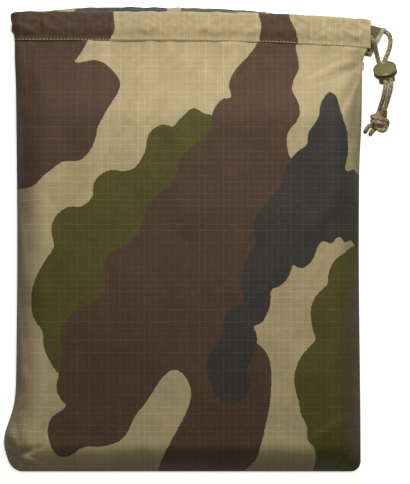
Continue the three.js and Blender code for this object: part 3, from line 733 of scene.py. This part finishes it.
def braid(along, turn):
    """Relief and colour of the cord's sheath: two sets of eight yarns wound opposite ways round it. Where the
    two counts add up to an even number the first set is on top. Each yarn is a rounded ridge."""
    yarns, lay = 8, 9.0
    first, second = yarns * (turn + along / lay), yarns * (turn - along / lay)
    over = (np.floor(first) + np.floor(second)) % 2 == 0
    ridge = np.abs(np.sin(np.pi * np.where(over, first, second))) ** 0.7
    tuck = 0.55 + 0.45 * np.abs(np.sin(np.pi * np.where(over, second, first)))
    number = np.where(over, np.floor(first) % yarns, np.floor(second) % yarns)
    dark = np.where(over, np.isin(number, (1, 4, 6)), np.isin(number, (2, 5))).astype(float)
    return ridge * tuck, dark


def make_strand(name, line):
    """One free length of the drawcord: a braided tube along its line that ends in a melted tip."""
    sides = 32
    along = np.concatenate([[0], np.cumsum(np.linalg.norm(np.diff(line, axis=0), axis=1))])
    left = along[-1] - along
    turn = np.linspace(0, 1, sides, endpoint=False)
    relief, dark = braid(along[:, None], turn[None, :])
    melt = 1 - smooth(left, 1.6, 4.4)
    tip = np.sqrt(np.clip(1 - (1 - np.clip(left / 1.6, 0, 1)) ** 2, 0.0, 1))
    frayed = 1 + 0.06 * melt[:, None] * ripple(turn[None, :] * 9, left[:, None], 41)
    radius = (1.84 + 0.26 * relief * (1 - melt[:, None])) * np.maximum(tip, 0.05)[:, None] * frayed
    points = tube(line, radius, sides)
    # groove is how deep each point lies between the yarns; the cord's material paints it darker as painted
    # shade.
    fields = {"tracer": dark * (1 - melt[:, None]), "groove": 1 - relief, "melt": melt[:, None] + 0 * dark}
    return surface(name, points, fields, around=True, capped=True)


# ---------------------------------------------------------------- the folded suit


def folded_garment(name, node, layers, seed):
    """A garment folded flat: rounded outlines in plan, stacked from the middle of its top over the edge to
    the middle of its underside. Round the edge it goes in and out once for each folded layer."""
    low, high = (np.array(corner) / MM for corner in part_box(node))
    middle, half = (low + high) / 2, (high - low) / 2 - (2.5, 2.5, 0.4)
    turn = np.linspace(0, 2 * np.pi, 220, endpoint=False)
    bend = 2 / 9
    across = np.sign(np.cos(turn)) * np.abs(np.cos(turn)) ** bend
    along = np.sign(np.sin(turn)) * np.abs(np.sin(turn)) ** bend
    flat = np.linspace(0.02, 0.97, 34)
    edge = np.linspace(0, 1, layers * 9 + 1)
    size = np.concatenate([flat, np.full(len(edge), 1.0), flat[::-1]])[:, None]
    level = np.concatenate([np.ones(len(flat)), 1 - 2 * edge, -np.ones(len(flat))])[:, None]
    groove = np.concatenate([0 * flat, np.abs(np.cos(np.pi * layers * edge)) ** 4, 0 * flat])[:, None]
    belly = 1.8 * np.sqrt(np.clip(1 - level**2, 0, 1))
    bulge = belly - 1.6 * groove + 0.5 * ripple(turn * 9, level * layers, seed)
    x = middle[0] + (half[0] * size + bulge * (size > 0.98)) * across
    y = middle[1] + (half[1] * size + bulge * (size > 0.98)) * along
    round_off = np.clip((1 - size) * 14, 0, 1) ** 0.5
    soft = 0.9 * crumple(x / 34, y / 34, seed + 3) + 0.5 * ripple(x / 15, y / 21, seed + 7) - 0.5
    edge_drop = 0.9 * (1 - round_off) * (size < 0.99)
    z = middle[2] + level * (half[2] - edge_drop) + np.abs(level) ** 9 * level * soft * 0.5
    z = np.clip(z, low[2], high[2])
    return surface(name, np.stack([x, y, z], -1), around=True, capped=True, flip=True)


# ---------------------------------------------------------------- materials


class Nodes:
    """Adds and links shader nodes in a tree."""

    def __init__(self, tree):
        self.tree = tree
        self.count = 0

    def add(self, kind, **settings):
        node = self.tree.nodes.new(kind)
        node.location = (self.count % 8 * 190, -self.count // 8 * 260)
        self.count += 1
        for key, value in settings.items():
            setattr(node, key, value)
        return node

    def put(self, socket, value):
        if isinstance(value, bpy.types.NodeSocket):
            self.tree.links.new(value, socket)
        elif value is not None:
            socket.default_value = value

    def math(self, operation, a, b=None, c=None):
        node = self.add("ShaderNodeMath", operation=operation)
        for socket, value in zip(node.inputs, (a, b, c)):
            self.put(socket, value)
        return node.outputs[0]

    def ramp(self, value, low, high, to_low=0.0, to_high=1.0):
        node = self.add("ShaderNodeMapRange", interpolation_type="SMOOTHSTEP")
        for socket, entry in zip(node.inputs, (value, low, high, to_low, to_high)):
            self.put(socket, entry)
        return node.outputs[0]

    def mix(self, factor, a, b, blend="MIX"):
        node = self.add("ShaderNodeMix", data_type="RGBA", blend_type=blend)
        self.put(node.inputs[0], factor)
        self.put(node.inputs[6], a)
        self.put(node.inputs[7], b)
        return node.outputs[2]

    def rgb(self, value):
        """The same value in all three channels of a colour."""
        node = self.add("ShaderNodeCombineColor")
        for socket in node.inputs:
            self.put(socket, value)
        return node.outputs[0]

    def noise(self, vector, scale, detail=2.0, rough=0.5):
        node = self.add("ShaderNodeTexNoise")
        self.put(node.inputs["Vector"], vector)
        self.put(node.inputs["Scale"], scale)
        self.put(node.inputs["Detail"], detail)
        self.put(node.inputs["Roughness"], rough)
        return node.outputs["Fac"]

    def field(self, name):
        return self.add("ShaderNodeAttribute", attribute_name=name)

    def group(self, tree, **values):
        node = self.add("ShaderNodeGroup", node_tree=tree)
        for key, value in values.items():
            self.put(node.inputs[key.replace("_", " ")], value)
        return node


def node_group(name, inputs, outputs):
    """An empty shader group with named inputs and outputs, and the tools to fill it."""
    tree = bpy.data.node_groups.new(name, "ShaderNodeTree")
    for label, kind, value in inputs:
        socket = tree.interface.new_socket(label, in_out="INPUT", socket_type=kind)
        if value is not None:
            socket.default_value = value
    for label, kind in outputs:
        tree.interface.new_socket(label, in_out="OUTPUT", socket_type=kind)
    nodes = Nodes(tree)
    return tree, nodes, nodes.add("NodeGroupInput").outputs, nodes.add("NodeGroupOutput").inputs


def ripstop_group():
    """Weave of a ripstop cloth: fine threads both ways, and a pair of thicker ones at every rib."""
    tree, n, i, o = node_group(
        "ripstop_weave",
        [
            ("Cloth", "NodeSocketVector", None),
            ("Rib spacing", "NodeSocketFloat", 5.2),
            ("Rib width", "NodeSocketFloat", 0.46),
        ],
        [("Ribs", "NodeSocketFloat"), ("Threads", "NodeSocketFloat"), ("Height", "NodeSocketFloat")],
    )
    split = n.add("ShaderNodeSeparateXYZ")
    n.put(split.inputs[0], i["Cloth"])
    waver = n.noise(i["Cloth"], 0.09, 1.0)
    ribs, threads = [], []
    for k, axis in enumerate(("X", "Y")):
        place = n.math("ADD", split.outputs[axis], n.math("MULTIPLY", waver, 1.4 + 0.5 * k))
        cell = n.math("DIVIDE", place, i["Rib spacing"])
        away = n.math("MULTIPLY", n.math("PINGPONG", cell, 0.5), i["Rib spacing"])
        line = n.ramp(away, 0.0, i["Rib width"], 1.0, 0.0)
        strength = n.add("ShaderNodeTexWhiteNoise", noise_dimensions="1D")
        n.put(strength.inputs["W"], n.math("ROUND", cell))
        broken = n.ramp(n.noise(i["Cloth"], 0.13 + 0.05 * k, 2.0), 0.35, 0.60, 0.30, 1.0)
        even = n.math("MULTIPLY", n.ramp(strength.outputs["Value"], 0.0, 1.0, 0.30, 1.0), broken)
        ribs.append(n.math("MULTIPLY", line, even))
        wave = n.math("SINE", n.math("MULTIPLY", place, 2 * np.pi / 0.52))
        threads.append(n.math("MULTIPLY", n.math("ADD", wave, 1.0), 0.5))
    rib = n.math("MAXIMUM", *ribs)
    weave = n.math("MULTIPLY", *threads)
    n.put(o["Ribs"], rib)
    n.put(o["Threads"], weave)
    n.put(o["Height"], n.math("ADD", n.math("MULTIPLY", rib, 0.75), n.math("MULTIPLY", weave, 0.35)))
    return tree


def camouflage_group():
    """Four-colour print: each patch is where its signed distance is above zero, with a slightly wavering
    edge."""
    tree, n, i, o = node_group(
        "woodland_print",
        [
            ("Cloth", "NodeSocketVector", None),
            ("Ground", "NodeSocketColor", (0.4, 0.33, 0.2, 1)),
            ("Green", "NodeSocketColor", (0.1, 0.09, 0.03, 1)),
            ("Brown", "NodeSocketColor", (0.1, 0.06, 0.045, 1)),
            ("Black", "NodeSocketColor", (0.04, 0.04, 0.033, 1)),
            ("Fade", "NodeSocketFloat", 0.0),
        ],
        [("Color", "NodeSocketColor")],
    )
    waver = n.math("MULTIPLY", n.math("SUBTRACT", n.noise(i["Cloth"], 0.35, 3.0), 0.5), 1.6)
    colour = i["Ground"]
    for name in ("green", "brown", "black"):
        place = n.math("ADD", n.field(name).outputs["Fac"], waver)
        colour = n.mix(n.ramp(place, -0.25, 0.25), colour, i[name.capitalize()])
    faded = n.mix(i["Fade"], colour, i["Ground"])
    n.put(o["Color"], faded)
    return tree


def dust_group():
    """Handling marks: slow patches of lighter and darker colour, and a fine grain."""
    tree, n, i, o = node_group(
        "handled_shade",
        [
            ("Color", "NodeSocketColor", (0.5, 0.5, 0.5, 1)),
            ("Place", "NodeSocketVector", None),
            ("Patch", "NodeSocketFloat", 30.0),
            ("Amount", "NodeSocketFloat", 0.15),
            ("Grain", "NodeSocketFloat", 0.1),
        ],
        [("Color", "NodeSocketColor"), ("Shade", "NodeSocketFloat")],
    )
    slow = n.math("SUBTRACT", n.noise(i["Place"], n.math("DIVIDE", 1.0, i["Patch"]), 3.0), 0.5)
    fine = n.math("SUBTRACT", n.noise(i["Place"], 1.4, 2.0, 0.7), 0.5)
    shade = n.math("ADD", n.math("MULTIPLY", slow, i["Amount"]), n.math("MULTIPLY", fine, i["Grain"]))
    bright = n.math("ADD", n.math("MULTIPLY", shade, 2.0), 1.0)
    n.put(o["Color"], n.mix(1.0, i["Color"], n.rgb(bright), "MULTIPLY"))
    n.put(o["Shade"], shade)
    return tree


GROUPS = {}


def shared(make):
    """A node group, made once."""
    if make not in GROUPS:
        GROUPS[make] = make()
    return GROUPS[make]


def new_material(name, roughness, **settings):
    """A material with a Principled shader; settings go on the shader's own sockets."""
    material = bpy.data.materials.new(name)
    material.use_nodes = True
    material.node_tree.nodes.clear()
    n = Nodes(material.node_tree)
    shader = n.add("ShaderNodeBsdfPrincipled")
    n.put(n.add("ShaderNodeOutputMaterial").inputs["Surface"], shader.outputs[0])
    shader.inputs["Roughness"].default_value = roughness
    for key, value in settings.items():
        shader.inputs[key.replace("_", " ")].default_value = value
    return material, n, shader.inputs


def bump(n, shader, height, distance, strength=1.0):
    """Feeds a height, in its own units, into the shader's normal."""
    node = n.add("ShaderNodeBump")
    node.inputs["Strength"].default_value = strength
    node.inputs["Distance"].default_value = distance
    n.put(node.inputs["Height"], height)
    n.put(shader["Normal"], node.outputs[0])


def ripstop_material(name, lining=False):
    """Printed ripstop cloth; the lining side shows the print paler and duller."""
    colours = bpy.context.scene.stow_bag
    material, n, shader = new_material(
        name, 0.72, Sheen_Weight=0.04, Sheen_Roughness=0.5, Specular_IOR_Level=0.22
    )
    cloth = n.field("cloth").outputs["Vector"]
    weave = n.group(shared(ripstop_group), Cloth=cloth)
    tone = lambda colour: (*(lerp(np.array(colour[:3]), 0.3, 0.14 if lining else 0.0)), 1.0)
    dyed = n.group(
        shared(camouflage_group), Cloth=cloth, Ground=tone(colours.khaki), Green=tone(colours.green),
        Brown=tone(colours.brown), Black=tone(colours.black),
    )
    handled = n.group(
        shared(dust_group), Color=dyed.outputs["Color"], Place=cloth, Patch=26.0, Amount=0.16, Grain=0.12
    )
    # Painted highlight on the cloth's ridges and painted shade in its creases and hollows, up to 8 % either
    # way, together with wear.
    crease_shading_and_wear = n.rgb(n.ramp(n.field("relief_shade_and_wear").outputs["Fac"], -1, 1, 0.92, 1.08))
    creased = n.mix(1.0, handled.outputs["Color"], crease_shading_and_wear, "MULTIPLY")
    raised = n.mix(1.0, creased, (1.42, 1.42, 1.42, 1.0), "MULTIPLY")
    lighter = n.mix(1.0, raised, (0.034, 0.029, 0.016, 1.0), "ADD")
    ribbed = n.mix(weave.outputs["Ribs"], creased, lighter)
    # The gaps between the fine threads are painted darker: painted shade between the threads.
    darker = n.mix(1.0, ribbed, (0.78, 0.78, 0.78, 1.0), "MULTIPLY")
    n.put(shader["Base Color"], n.mix(weave.outputs["Threads"], darker, ribbed))
    n.put(shader["Roughness"], n.ramp(handled.outputs["Shade"], -0.1, 0.1, 0.66, 0.78))
    bump(n, shader, weave.outputs["Height"], 0.00016)
    return material


def cord_material():
    """Braided polyester sheath in khaki with darker tracer yarns, painted shade in the grooves between the
    yarns, and melted dark at its ends.
    """
    colours = bpy.context.scene.stow_bag
    material, n, shader = new_material("braided_sheath", 0.6, Sheen_Weight=0.1, Specular_IOR_Level=0.4)
    place = n.add("ShaderNodeTexCoord").outputs["Object"]
    khaki = n.mix(n.noise(place, 900.0, 2.0), tuple(colours.cord), (0.30, 0.24, 0.13, 1.0))
    yarns = n.mix(n.ramp(n.field("tracer").outputs["Fac"], 0.3, 0.7), khaki, (0.045, 0.036, 0.018, 1.0))
    # Painted shade in the grooves between the braided yarns.
    between = n.math("MULTIPLY", n.field("groove").outputs["Fac"], 0.95)
    shaded = n.mix(between, yarns, (0.05, 0.04, 0.022, 1.0))
    ends = n.mix(n.field("melt").outputs["Fac"], shaded, (0.035, 0.028, 0.018, 1.0))
    n.put(shader["Base Color"], ends)
    n.put(shader["Roughness"], n.ramp(n.field("melt").outputs["Fac"], 0.2, 0.9, 0.62, 0.3))
    bump(n, shader, n.noise(place, 2600.0, 2.0), 0.00008)
    return material


def plastic_material(name, colour, roughness):
    """Moulded plastic with a faint texture and lighter scuffs."""
    material, n, shader = new_material(name, roughness, Specular_IOR_Level=0.45)
    place = n.add("ShaderNodeTexCoord").outputs["Object"]
    fine = n.noise(place, 1400.0, 3.0)
    scuff = n.ramp(n.noise(place, 260.0, 4.0, 0.65), 0.58, 0.78, 0.0, 0.35)
    pale = tuple(min(1.0, 1.6 * c + 0.01) for c in colour[:3]) + (1.0,)
    n.put(shader["Base Color"], n.mix(scuff, tuple(colour), pale))
    n.put(shader["Roughness"], n.ramp(fine, 0.3, 0.7, roughness - 0.06, roughness + 0.1))
    bump(n, shader, fine, 0.00003)
    return material


def thread_material():
    """Twisted sewing thread."""
    material, n, shader = new_material("sewing_thread", 0.65, Sheen_Weight=0.2)
    place = n.add("ShaderNodeTexCoord").outputs["Object"]
    strand = n.noise(place, 3000.0, 1.0)
    n.put(shader["Base Color"], n.mix(strand, (0.46, 0.36, 0.18, 1.0), (0.27, 0.2, 0.09, 1.0)))
    bump(n, shader, strand, 0.00005)
    return material


def steel_material():
    """Drawn spring wire with fine lines."""
    material, n, shader = new_material("spring_wire", 0.3, Metallic=1.0)
    place = n.add("ShaderNodeTexCoord").outputs["Object"]
    lines = n.noise(place, 4000.0, 1.0)
    n.put(shader["Base Color"], n.mix(lines, (0.62, 0.61, 0.58, 1.0), (0.38, 0.37, 0.35, 1.0)))
    n.put(shader["Roughness"], n.ramp(lines, 0.3, 0.7, 0.22, 0.38))
    return material


def suit_material():
    """Brushed olive cloth of the folded suit, in a loose twill."""
    material, n, shader = new_material("suit_twill", 0.9, Sheen_Weight=0.3, Sheen_Roughness=0.6)
    place = n.add("ShaderNodeTexCoord").outputs["Object"]
    patches = n.noise(place, 22.0, 4.0, 0.6)
    tone = n.mix(n.ramp(patches, 0.42, 0.58), (0.075, 0.075, 0.035, 1.0), (0.14, 0.115, 0.06, 1.0))
    wave = n.add("ShaderNodeTexWave", wave_type="BANDS", bands_direction="DIAGONAL")
    n.put(wave.inputs["Vector"], place)
    n.put(wave.inputs["Scale"], 420.0)
    n.put(wave.inputs["Distortion"], 1.5)
    stripe = n.math("MULTIPLY", wave.outputs["Fac"], 0.35)
    n.put(shader["Base Color"], n.mix(stripe, tone, (0.04, 0.04, 0.02, 1.0)))
    bump(n, shader, wave.outputs["Fac"], 0.0003)
    return material


MATERIALS = {}


def finish_of(make, *inputs):
    """A material, made once."""
    key = (make, inputs)
    if key not in MATERIALS:
        MATERIALS[key] = make(*inputs)
    return MATERIALS[key]


def dress(piece, *materials):
    """Gives a piece its materials."""
    piece.data.materials.clear()
    for material in materials:
        piece.data.materials.append(material)


# ---------------------------------------------------------------- operators


class StowBagSizes(bpy.types.PropertyGroup):
    """Sizes and colours of the stow bag."""

    width: bpy.props.FloatProperty(
        name="Width", description="Side seam to side seam, packed", unit="LENGTH",
        default=round(2 * float(seam_high[0] + 16) * MM, 3),
    )
    length: bpy.props.FloatProperty(
        name="Length", description="Bottom seam to the folded edge of the mouth", unit="LENGTH",
        default=round(-2 * float(panel_low[1]) * MM, 4),
    )
    height: bpy.props.FloatProperty(
        name="Height", description="Floor to the crown of the front panel", unit="LENGTH",
        default=round(float(panel_high[2]) * MM, 3),
    )
    cord_diameter: bpy.props.FloatProperty(
        name="Cord diameter", description="Diameter of the drawcord", unit="LENGTH", default=0.004
    )
    khaki: bpy.props.FloatVectorProperty(
        name="Khaki", description="Ground colour of the print", subtype="COLOR", size=4, min=0, max=1,
        default=(0.41, 0.335, 0.188, 1.0),
    )
    green: bpy.props.FloatVectorProperty(
        name="Green", description="Green of the print", subtype="COLOR", size=4, min=0, max=1,
        default=(0.076, 0.069, 0.0135, 1.0),
    )
    brown: bpy.props.FloatVectorProperty(
        name="Brown", description="Brown of the print", subtype="COLOR", size=4, min=0, max=1,
        default=(0.075, 0.043, 0.026, 1.0),
    )
    black: bpy.props.FloatVectorProperty(
        name="Charcoal", description="Charcoal of the print", subtype="COLOR", size=4, min=0, max=1,
        default=(0.037, 0.035, 0.030, 1.0),
    )
    cord: bpy.props.FloatVectorProperty(
        name="Cord", description="Main yarn of the drawcord", subtype="COLOR", size=4, min=0, max=1,
        default=(0.58, 0.45, 0.22, 1.0),
    )
    lock: bpy.props.FloatVectorProperty(
        name="Lock", description="Plastic of the cord lock", subtype="COLOR", size=4, min=0, max=1,
        default=(0.125, 0.112, 0.027, 1.0),
    )


class STOWBAG_OT_stage(bpy.types.Operator):
    """Camera straight above, pale floor and soft studio light from the mouth's side"""

    bl_idname = "stow_bag.stage"
    bl_label = "Stage"

    def execute(self, context):
        scene = context.scene
        scene.view_settings.view_transform = "Standard"
        camera = bpy.data.objects.new("studio_camera", bpy.data.cameras.new("studio_camera"))
        camera.data.sensor_width = 36
        camera.data.lens = 171.3
        camera.data.clip_start = 0.1
        camera.location = (0.0146, -0.0004, 2.0)
        scene.collection.objects.link(camera)
        scene.camera = camera
        for name, place, aim, size, power, tint in (
            ("key_light", (0.10, 0.54, 0.52), (0.0, 0.08, 0.0), 0.14, 4.9, (1.0, 0.99, 0.98)),
            ("top_light", (0.05, 0.05, 1.25), (0.0, 0.0, 0.0), 0.25, 4.7, (1.0, 0.95, 0.78)),
        ):
            light = bpy.data.lights.new(name, "AREA")
            light.size = size
            light.energy = power
            light.color = tint
            lamp = bpy.data.objects.new(name, light)
            lamp.location = place
            lamp.rotation_euler = (Vector(aim) - Vector(place)).to_track_quat("-Z", "Y").to_euler()
            scene.collection.objects.link(lamp)
        world = bpy.data.worlds.new("studio_air")
        world.use_nodes = True
        world.node_tree.nodes["Background"].inputs[0].default_value = (1.0, 0.92, 0.72, 1.0)
        world.node_tree.nodes["Background"].inputs[1].default_value = 0.03
        scene.world = world
        corners = np.array([[[-6, -6], [-6, 6]], [[6, -6], [6, 6]]]) * 1000.0
        corners = np.concatenate([corners, np.full((2, 2, 1), -FLOOR_DROP)], axis=2)
        floor = surface("floor", corners, flip=True)
        material, _, shader = new_material("pale_floor", 0.9)
        shader["Base Color"].default_value = (0.88, 0.88, 0.88, 1.0)
        shader["Emission Color"].default_value = (1.0, 1.0, 1.0, 1.0)
        shader["Emission Strength"].default_value = 0.76
        dress(floor, material)
        floor.visible_diffuse = False
        return {"FINISHED"}


class STOWBAG_OT_drawcord(bpy.types.Operator):
    """Both free ends of the drawcord, from the hem through the lock and the knot to their melted tips"""

    bl_idname = "stow_bag.drawcord"
    bl_label = "Drawcord"

    def execute(self, context):
        strands, knots = strand_points(), knot_points()
        material = finish_of(cord_material)
        names = ("drawcord_front", "drawcord_back")
        nodes = (
            ("drawcord_front_strand", "drawcord_front_tail", "drawcord_knot"),
            ("drawcord_back_strand", "drawcord_back_tail", "drawcord_knot"),
        )
        half = bag().width / MM / 2
        starts = (half + 8.5, half + 20.6)
        for name, strand, knot, replaced, start in zip(names, strands, knots, nodes, starts):
            line = smooth_line(np.vstack([strand, knot]), 0.4)
            piece = make_strand(name, line)
            dress(piece, material)
            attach(piece, BAG)
            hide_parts(*replaced)
        return {"FINISHED"}


class STOWBAG_OT_cord_lock(bpy.types.Operator):
    """Press-button cord lock: dished button with its stem, ribbed barrel and spring"""

    bl_idname = "stow_bag.cord_lock"
    bl_label = "Cord lock"

    def execute(self, context):
        olive = finish_of(plastic_material, "lock_plastic", tuple(bag().lock), 0.36)
        face = [
            (0.05, 0.85), (2.5, 0.82), (5.0, 0.68), (7.0, 0.46), (7.5, 0.42), (7.85, 0.85), (8.2, 0.85),
            (8.5, 0.2), (8.9, 0.07), (9.4, 0.0), (9.8, 0.06), (10.1, 0.25), (10.28, 0.55), (10.3, 0.9),
            (10.28, 1.3), (10.1, 1.62), (9.7, 1.8), (6, 1.8), (0.05, 1.8),
        ]
        button = joined("lock_push_button", [
            lathe("lock_push_button", face),
            bar("stem_top", (-5.75, 5.75), (-2.9, 2.9), (1.7, 2.75)),
            bar("stem_left", (-5.75, -4.7), (-2.9, 2.9), (2.6, 9.4)),
            bar("stem_right", (4.7, 5.75), (-2.9, 2.9), (2.6, 9.4)),
            bar("stem_foot", (-5.75, 5.75), (-2.9, 2.9), (9.25, 10.1)),
        ])
        turn = np.linspace(0, 2 * np.pi, 44, endpoint=False)
        reach = lambda radius, depth: in_lock(
            radius * np.cos(turn), radius * np.sin(turn), np.full_like(turn, depth)
        )
        ribs = stitch_row("lock_grip_ribs", reach(10.0, 4.0), reach(10.0, 6.1), 0.42, 0 * turn)
        for piece, body in ((button, BUTTON), (ribs, LOCK)):
            dress(piece, olive)
            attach(piece, body)
        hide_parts("lock_button")
        dress(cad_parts["lock_barrel"], olive)
        dress(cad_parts["lock_spring"], finish_of(steel_material))
        return {"FINISHED"}


class STOWBAG_OT_hem(bpy.types.Operator):
    """Folded hem that holds the drawcord"""

    bl_idname = "stow_bag.hem"
    bl_label = "Hem"

    def execute(self, context):
        piece, run, inside = make_hem()
        outer = finish_of(ripstop_material, "printed_ripstop")
        dress(piece, outer, finish_of(ripstop_material, "ripstop_inside", True))
        piece.data.polygons.foreach_set("material_index", inside.astype(np.int32))
        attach(piece, BAG)
        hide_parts("cord_casing")
        return {"FINISHED"}


class STOWBAG_OT_panels(bpy.types.Operator):
    """Front and back panels of the bag"""

    bl_idname = "stow_bag.panels"
    bl_label = "Panels"

    def execute(self, context):
        outer = finish_of(ripstop_material, "printed_ripstop")
        inner = finish_of(ripstop_material, "ripstop_inside", True)
        flat_relief = lambda x, y, inward: np.zeros_like(x)
        front = panel_grid(FRONT_ROLL, 5.2, front_edge, front_height, front_relief)
        back = panel_grid(16, 0.0, back_edge, back_height, flat_relief)
        for name, points, turned, flip in (
            ("bag_front", front, 1, False),
            ("bag_back", back, -1, True),
        ):
            prints = body_print(turned * points[..., 0], turned * points[..., 1])
            fields = {"cloth": cloth_run(points), **prints}
            # The front panel's ridges get a painted highlight and its hollows painted shade, together with
            # wear; the back gets none.
            fields["relief_shade_and_wear"] = relief_shade_and_wear(points[..., 2]) * (turned > 0)
            piece = surface(name, points, fields, flip=flip)
            dress(piece, outer, inner)
            thicken(piece, 0.8 * MM, -1.0, lining=True)
            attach(piece, BAG)
            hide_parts("front_panel" if turned == 1 else "back_panel")
            run = fields["cloth"]
            wide = float(np.ptp(run[len(run) // 2, :, 0]))
            tall = float(np.ptp(run[:, run.shape[1] // 2, 1]))
        return {"FINISHED"}


class STOWBAG_OT_stitching(bpy.types.Operator):
    """Stitch row of the hem, bartack below the slit and two loose thread ends"""

    bl_idname = "stow_bag.stitching"
    bl_label = "Stitching"

    def execute(self, context):
        thread = finish_of(thread_material)
        row = hem_stitches()
        low, high = (np.array(corner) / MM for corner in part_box("slit_bartack"))
        y = np.linspace(low[1] + 0.3, high[1] - 0.3, 15)
        side = np.where(np.arange(15) % 2 == 0, 0.0, 0.5)
        starts = np.stack([low[0] - 0.5 + side, y, 0 * y + high[2] - 0.6], -1)
        ends = np.stack([high[0] - 0.1 + side * 0.2, y + 0.35, 0 * y + high[2] - 1.2], -1)
        tack = stitch_row("slit_bartack_thread", starts, ends, 0.3, 0 * y + 0.2)
        corner = np.array([high[0] + 0.5, high[1] + 7.0, high[2] + 0.2])
        ends = []
        for k, reach in enumerate(([(0, 0, 0), (2.4, 1.5, 1.0), (5.2, 1.2, 1.6), (8.0, 3.4, 0.6)],
                                   [(-0.5, 4, 0.5), (2.0, 3.0, 2.0), (3.2, 0.2, 1.0), (6.0, -1.6, -1.0)])):
            line = smooth_line(np.array(reach, float) + corner, 0.4)
            ends.append(surface(f"thread_end_{k}", yarn(line, 0.17, 6), around=True, capped=True))
        loose = joined("loose_thread_ends", ends)
        for piece, node in ((row, "casing_stitching"), (tack, "slit_bartack"), (loose, None)):
            dress(piece, thread)
            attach(piece, BAG)
            if node:
                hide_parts(node)
        return {"FINISHED"}


class STOWBAG_OT_held_cord(bpy.types.Operator):
    """The run of the drawcord inside the hem"""

    bl_idname = "stow_bag.held_cord"
    bl_label = "Drawcord in the hem"

    def execute(self, context):
        line = held_run_line()
        along = np.concatenate([[0], np.cumsum(np.linalg.norm(np.diff(line, axis=0), axis=1))])
        relief, dark = braid(along[:, None], np.linspace(0, 1, 20, endpoint=False)[None, :])
        # groove is how deep each point lies between the yarns; the cord's material paints it darker as
        # painted shade.
        fields = {"tracer": dark, "groove": 1 - relief, "melt": 0 * dark}
        points = tube(line, 1.86 + 0.2 * relief, 20)
        piece = surface("drawcord_in_hem", points, fields, around=True, capped=True)
        dress(piece, finish_of(cord_material))
        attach(piece, BAG)
        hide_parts("drawcord_held_run")
        return {"FINISHED"}


class STOWBAG_OT_contents(bpy.types.Operator):
    """Folded trousers, jacket and hood inside the bag"""

    bl_idname = "stow_bag.contents"
    bl_label = "Folded suit"

    def execute(self, context):
        cloth = finish_of(suit_material)
        for name, node, layers, seed in (
            ("suit_trousers", "folded_trousers", 4, 51),
            ("suit_jacket", "folded_jacket", 5, 61),
            ("suit_hood", "folded_hood", 2, 71),
        ):
            piece = folded_garment(name, node, layers, seed)
            dress(piece, cloth)
            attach(piece, BAG)
            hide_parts(node)
        return {"FINISHED"}


class STOWBAG_OT_seams(bpy.types.Operator):
    """Seam allowances inside the left, right and bottom seams"""

    bl_idname = "stow_bag.seams"
    bl_label = "Seam allowances"

    def execute(self, context):
        inner = finish_of(ripstop_material, "ripstop_inside", True)
        half, top = bag().width / MM / 2, bag().length / MM / 2
        deep = np.linspace(0, 5.6, 7)[None, :]
        t = np.linspace(0, 1, 240)[:, None]
        tall = lerp(20 - top, top - 46.5, t)
        wide = lerp(16 - half, half - 16, t)
        strips = {
            "seam_edge_left": (
                "left_seam_allowance", side_edge(-1, tall) + 1.7 + deep, tall + 0 * deep, tall,
            ),
            "seam_edge_right": (
                "right_seam_allowance", side_edge(1, tall) - 1.7 - deep, tall + 0 * deep, tall,
            ),
            "seam_edge_bottom": ("bottom_seam_allowance", wide + 0 * deep, -top + 1.7 + deep + 0 * t, wide),
        }
        for name, (node, x, y, along) in strips.items():
            z = 12 + 0.22 * deep / 5.6 * ripple(along / 7, deep / 9, 81)
            points = np.stack([x, y, z], -1)
            run = cloth_run(points)
            piece = surface(name, points, {"cloth": run, **body_print(x, y)}, flip=name == "seam_edge_left")
            dress(piece, inner)
            thicken(piece, 0.6 * MM, 0.0)
            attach(piece, BAG)
            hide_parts(node)
        return {"FINISHED"}


class STOWBAG_PT_panel(bpy.types.Panel):
    """Lists the sizes, colours and steps of the stow bag"""

    bl_idname = "STOWBAG_PT_panel"
    bl_label = "Stow Bag"
    bl_space_type = "VIEW_3D"
    bl_region_type = "UI"
    bl_category = "Stow Bag"

    def draw(self, context):
        for name in StowBagSizes.__annotations__:
            self.layout.prop(context.scene.stow_bag, name)
        for step in STEPS:
            self.layout.operator(step.bl_idname)


STEPS = (
    STOWBAG_OT_stage,
    STOWBAG_OT_cord_lock,
    STOWBAG_OT_drawcord,
    STOWBAG_OT_hem,
    STOWBAG_OT_panels,
    STOWBAG_OT_stitching,
    STOWBAG_OT_held_cord,
    STOWBAG_OT_contents,
    STOWBAG_OT_seams,
)
CLASSES = (StowBagSizes, *STEPS, STOWBAG_PT_panel)


def register():
    """Makes the classes known to Blender."""
    for cls in CLASSES:
        bpy.utils.register_class(cls)
    bpy.types.Scene.stow_bag = bpy.props.PointerProperty(type=StowBagSizes)


def unregister():
    """Takes them away again."""
    del bpy.types.Scene.stow_bag
    for cls in reversed(CLASSES):
        bpy.utils.unregister_class(cls)


def main():
    register()
    for step in STEPS:
        getattr(bpy.ops.stow_bag, step.bl_idname.split(".")[1])()


if __name__ == "__main__":
    main()
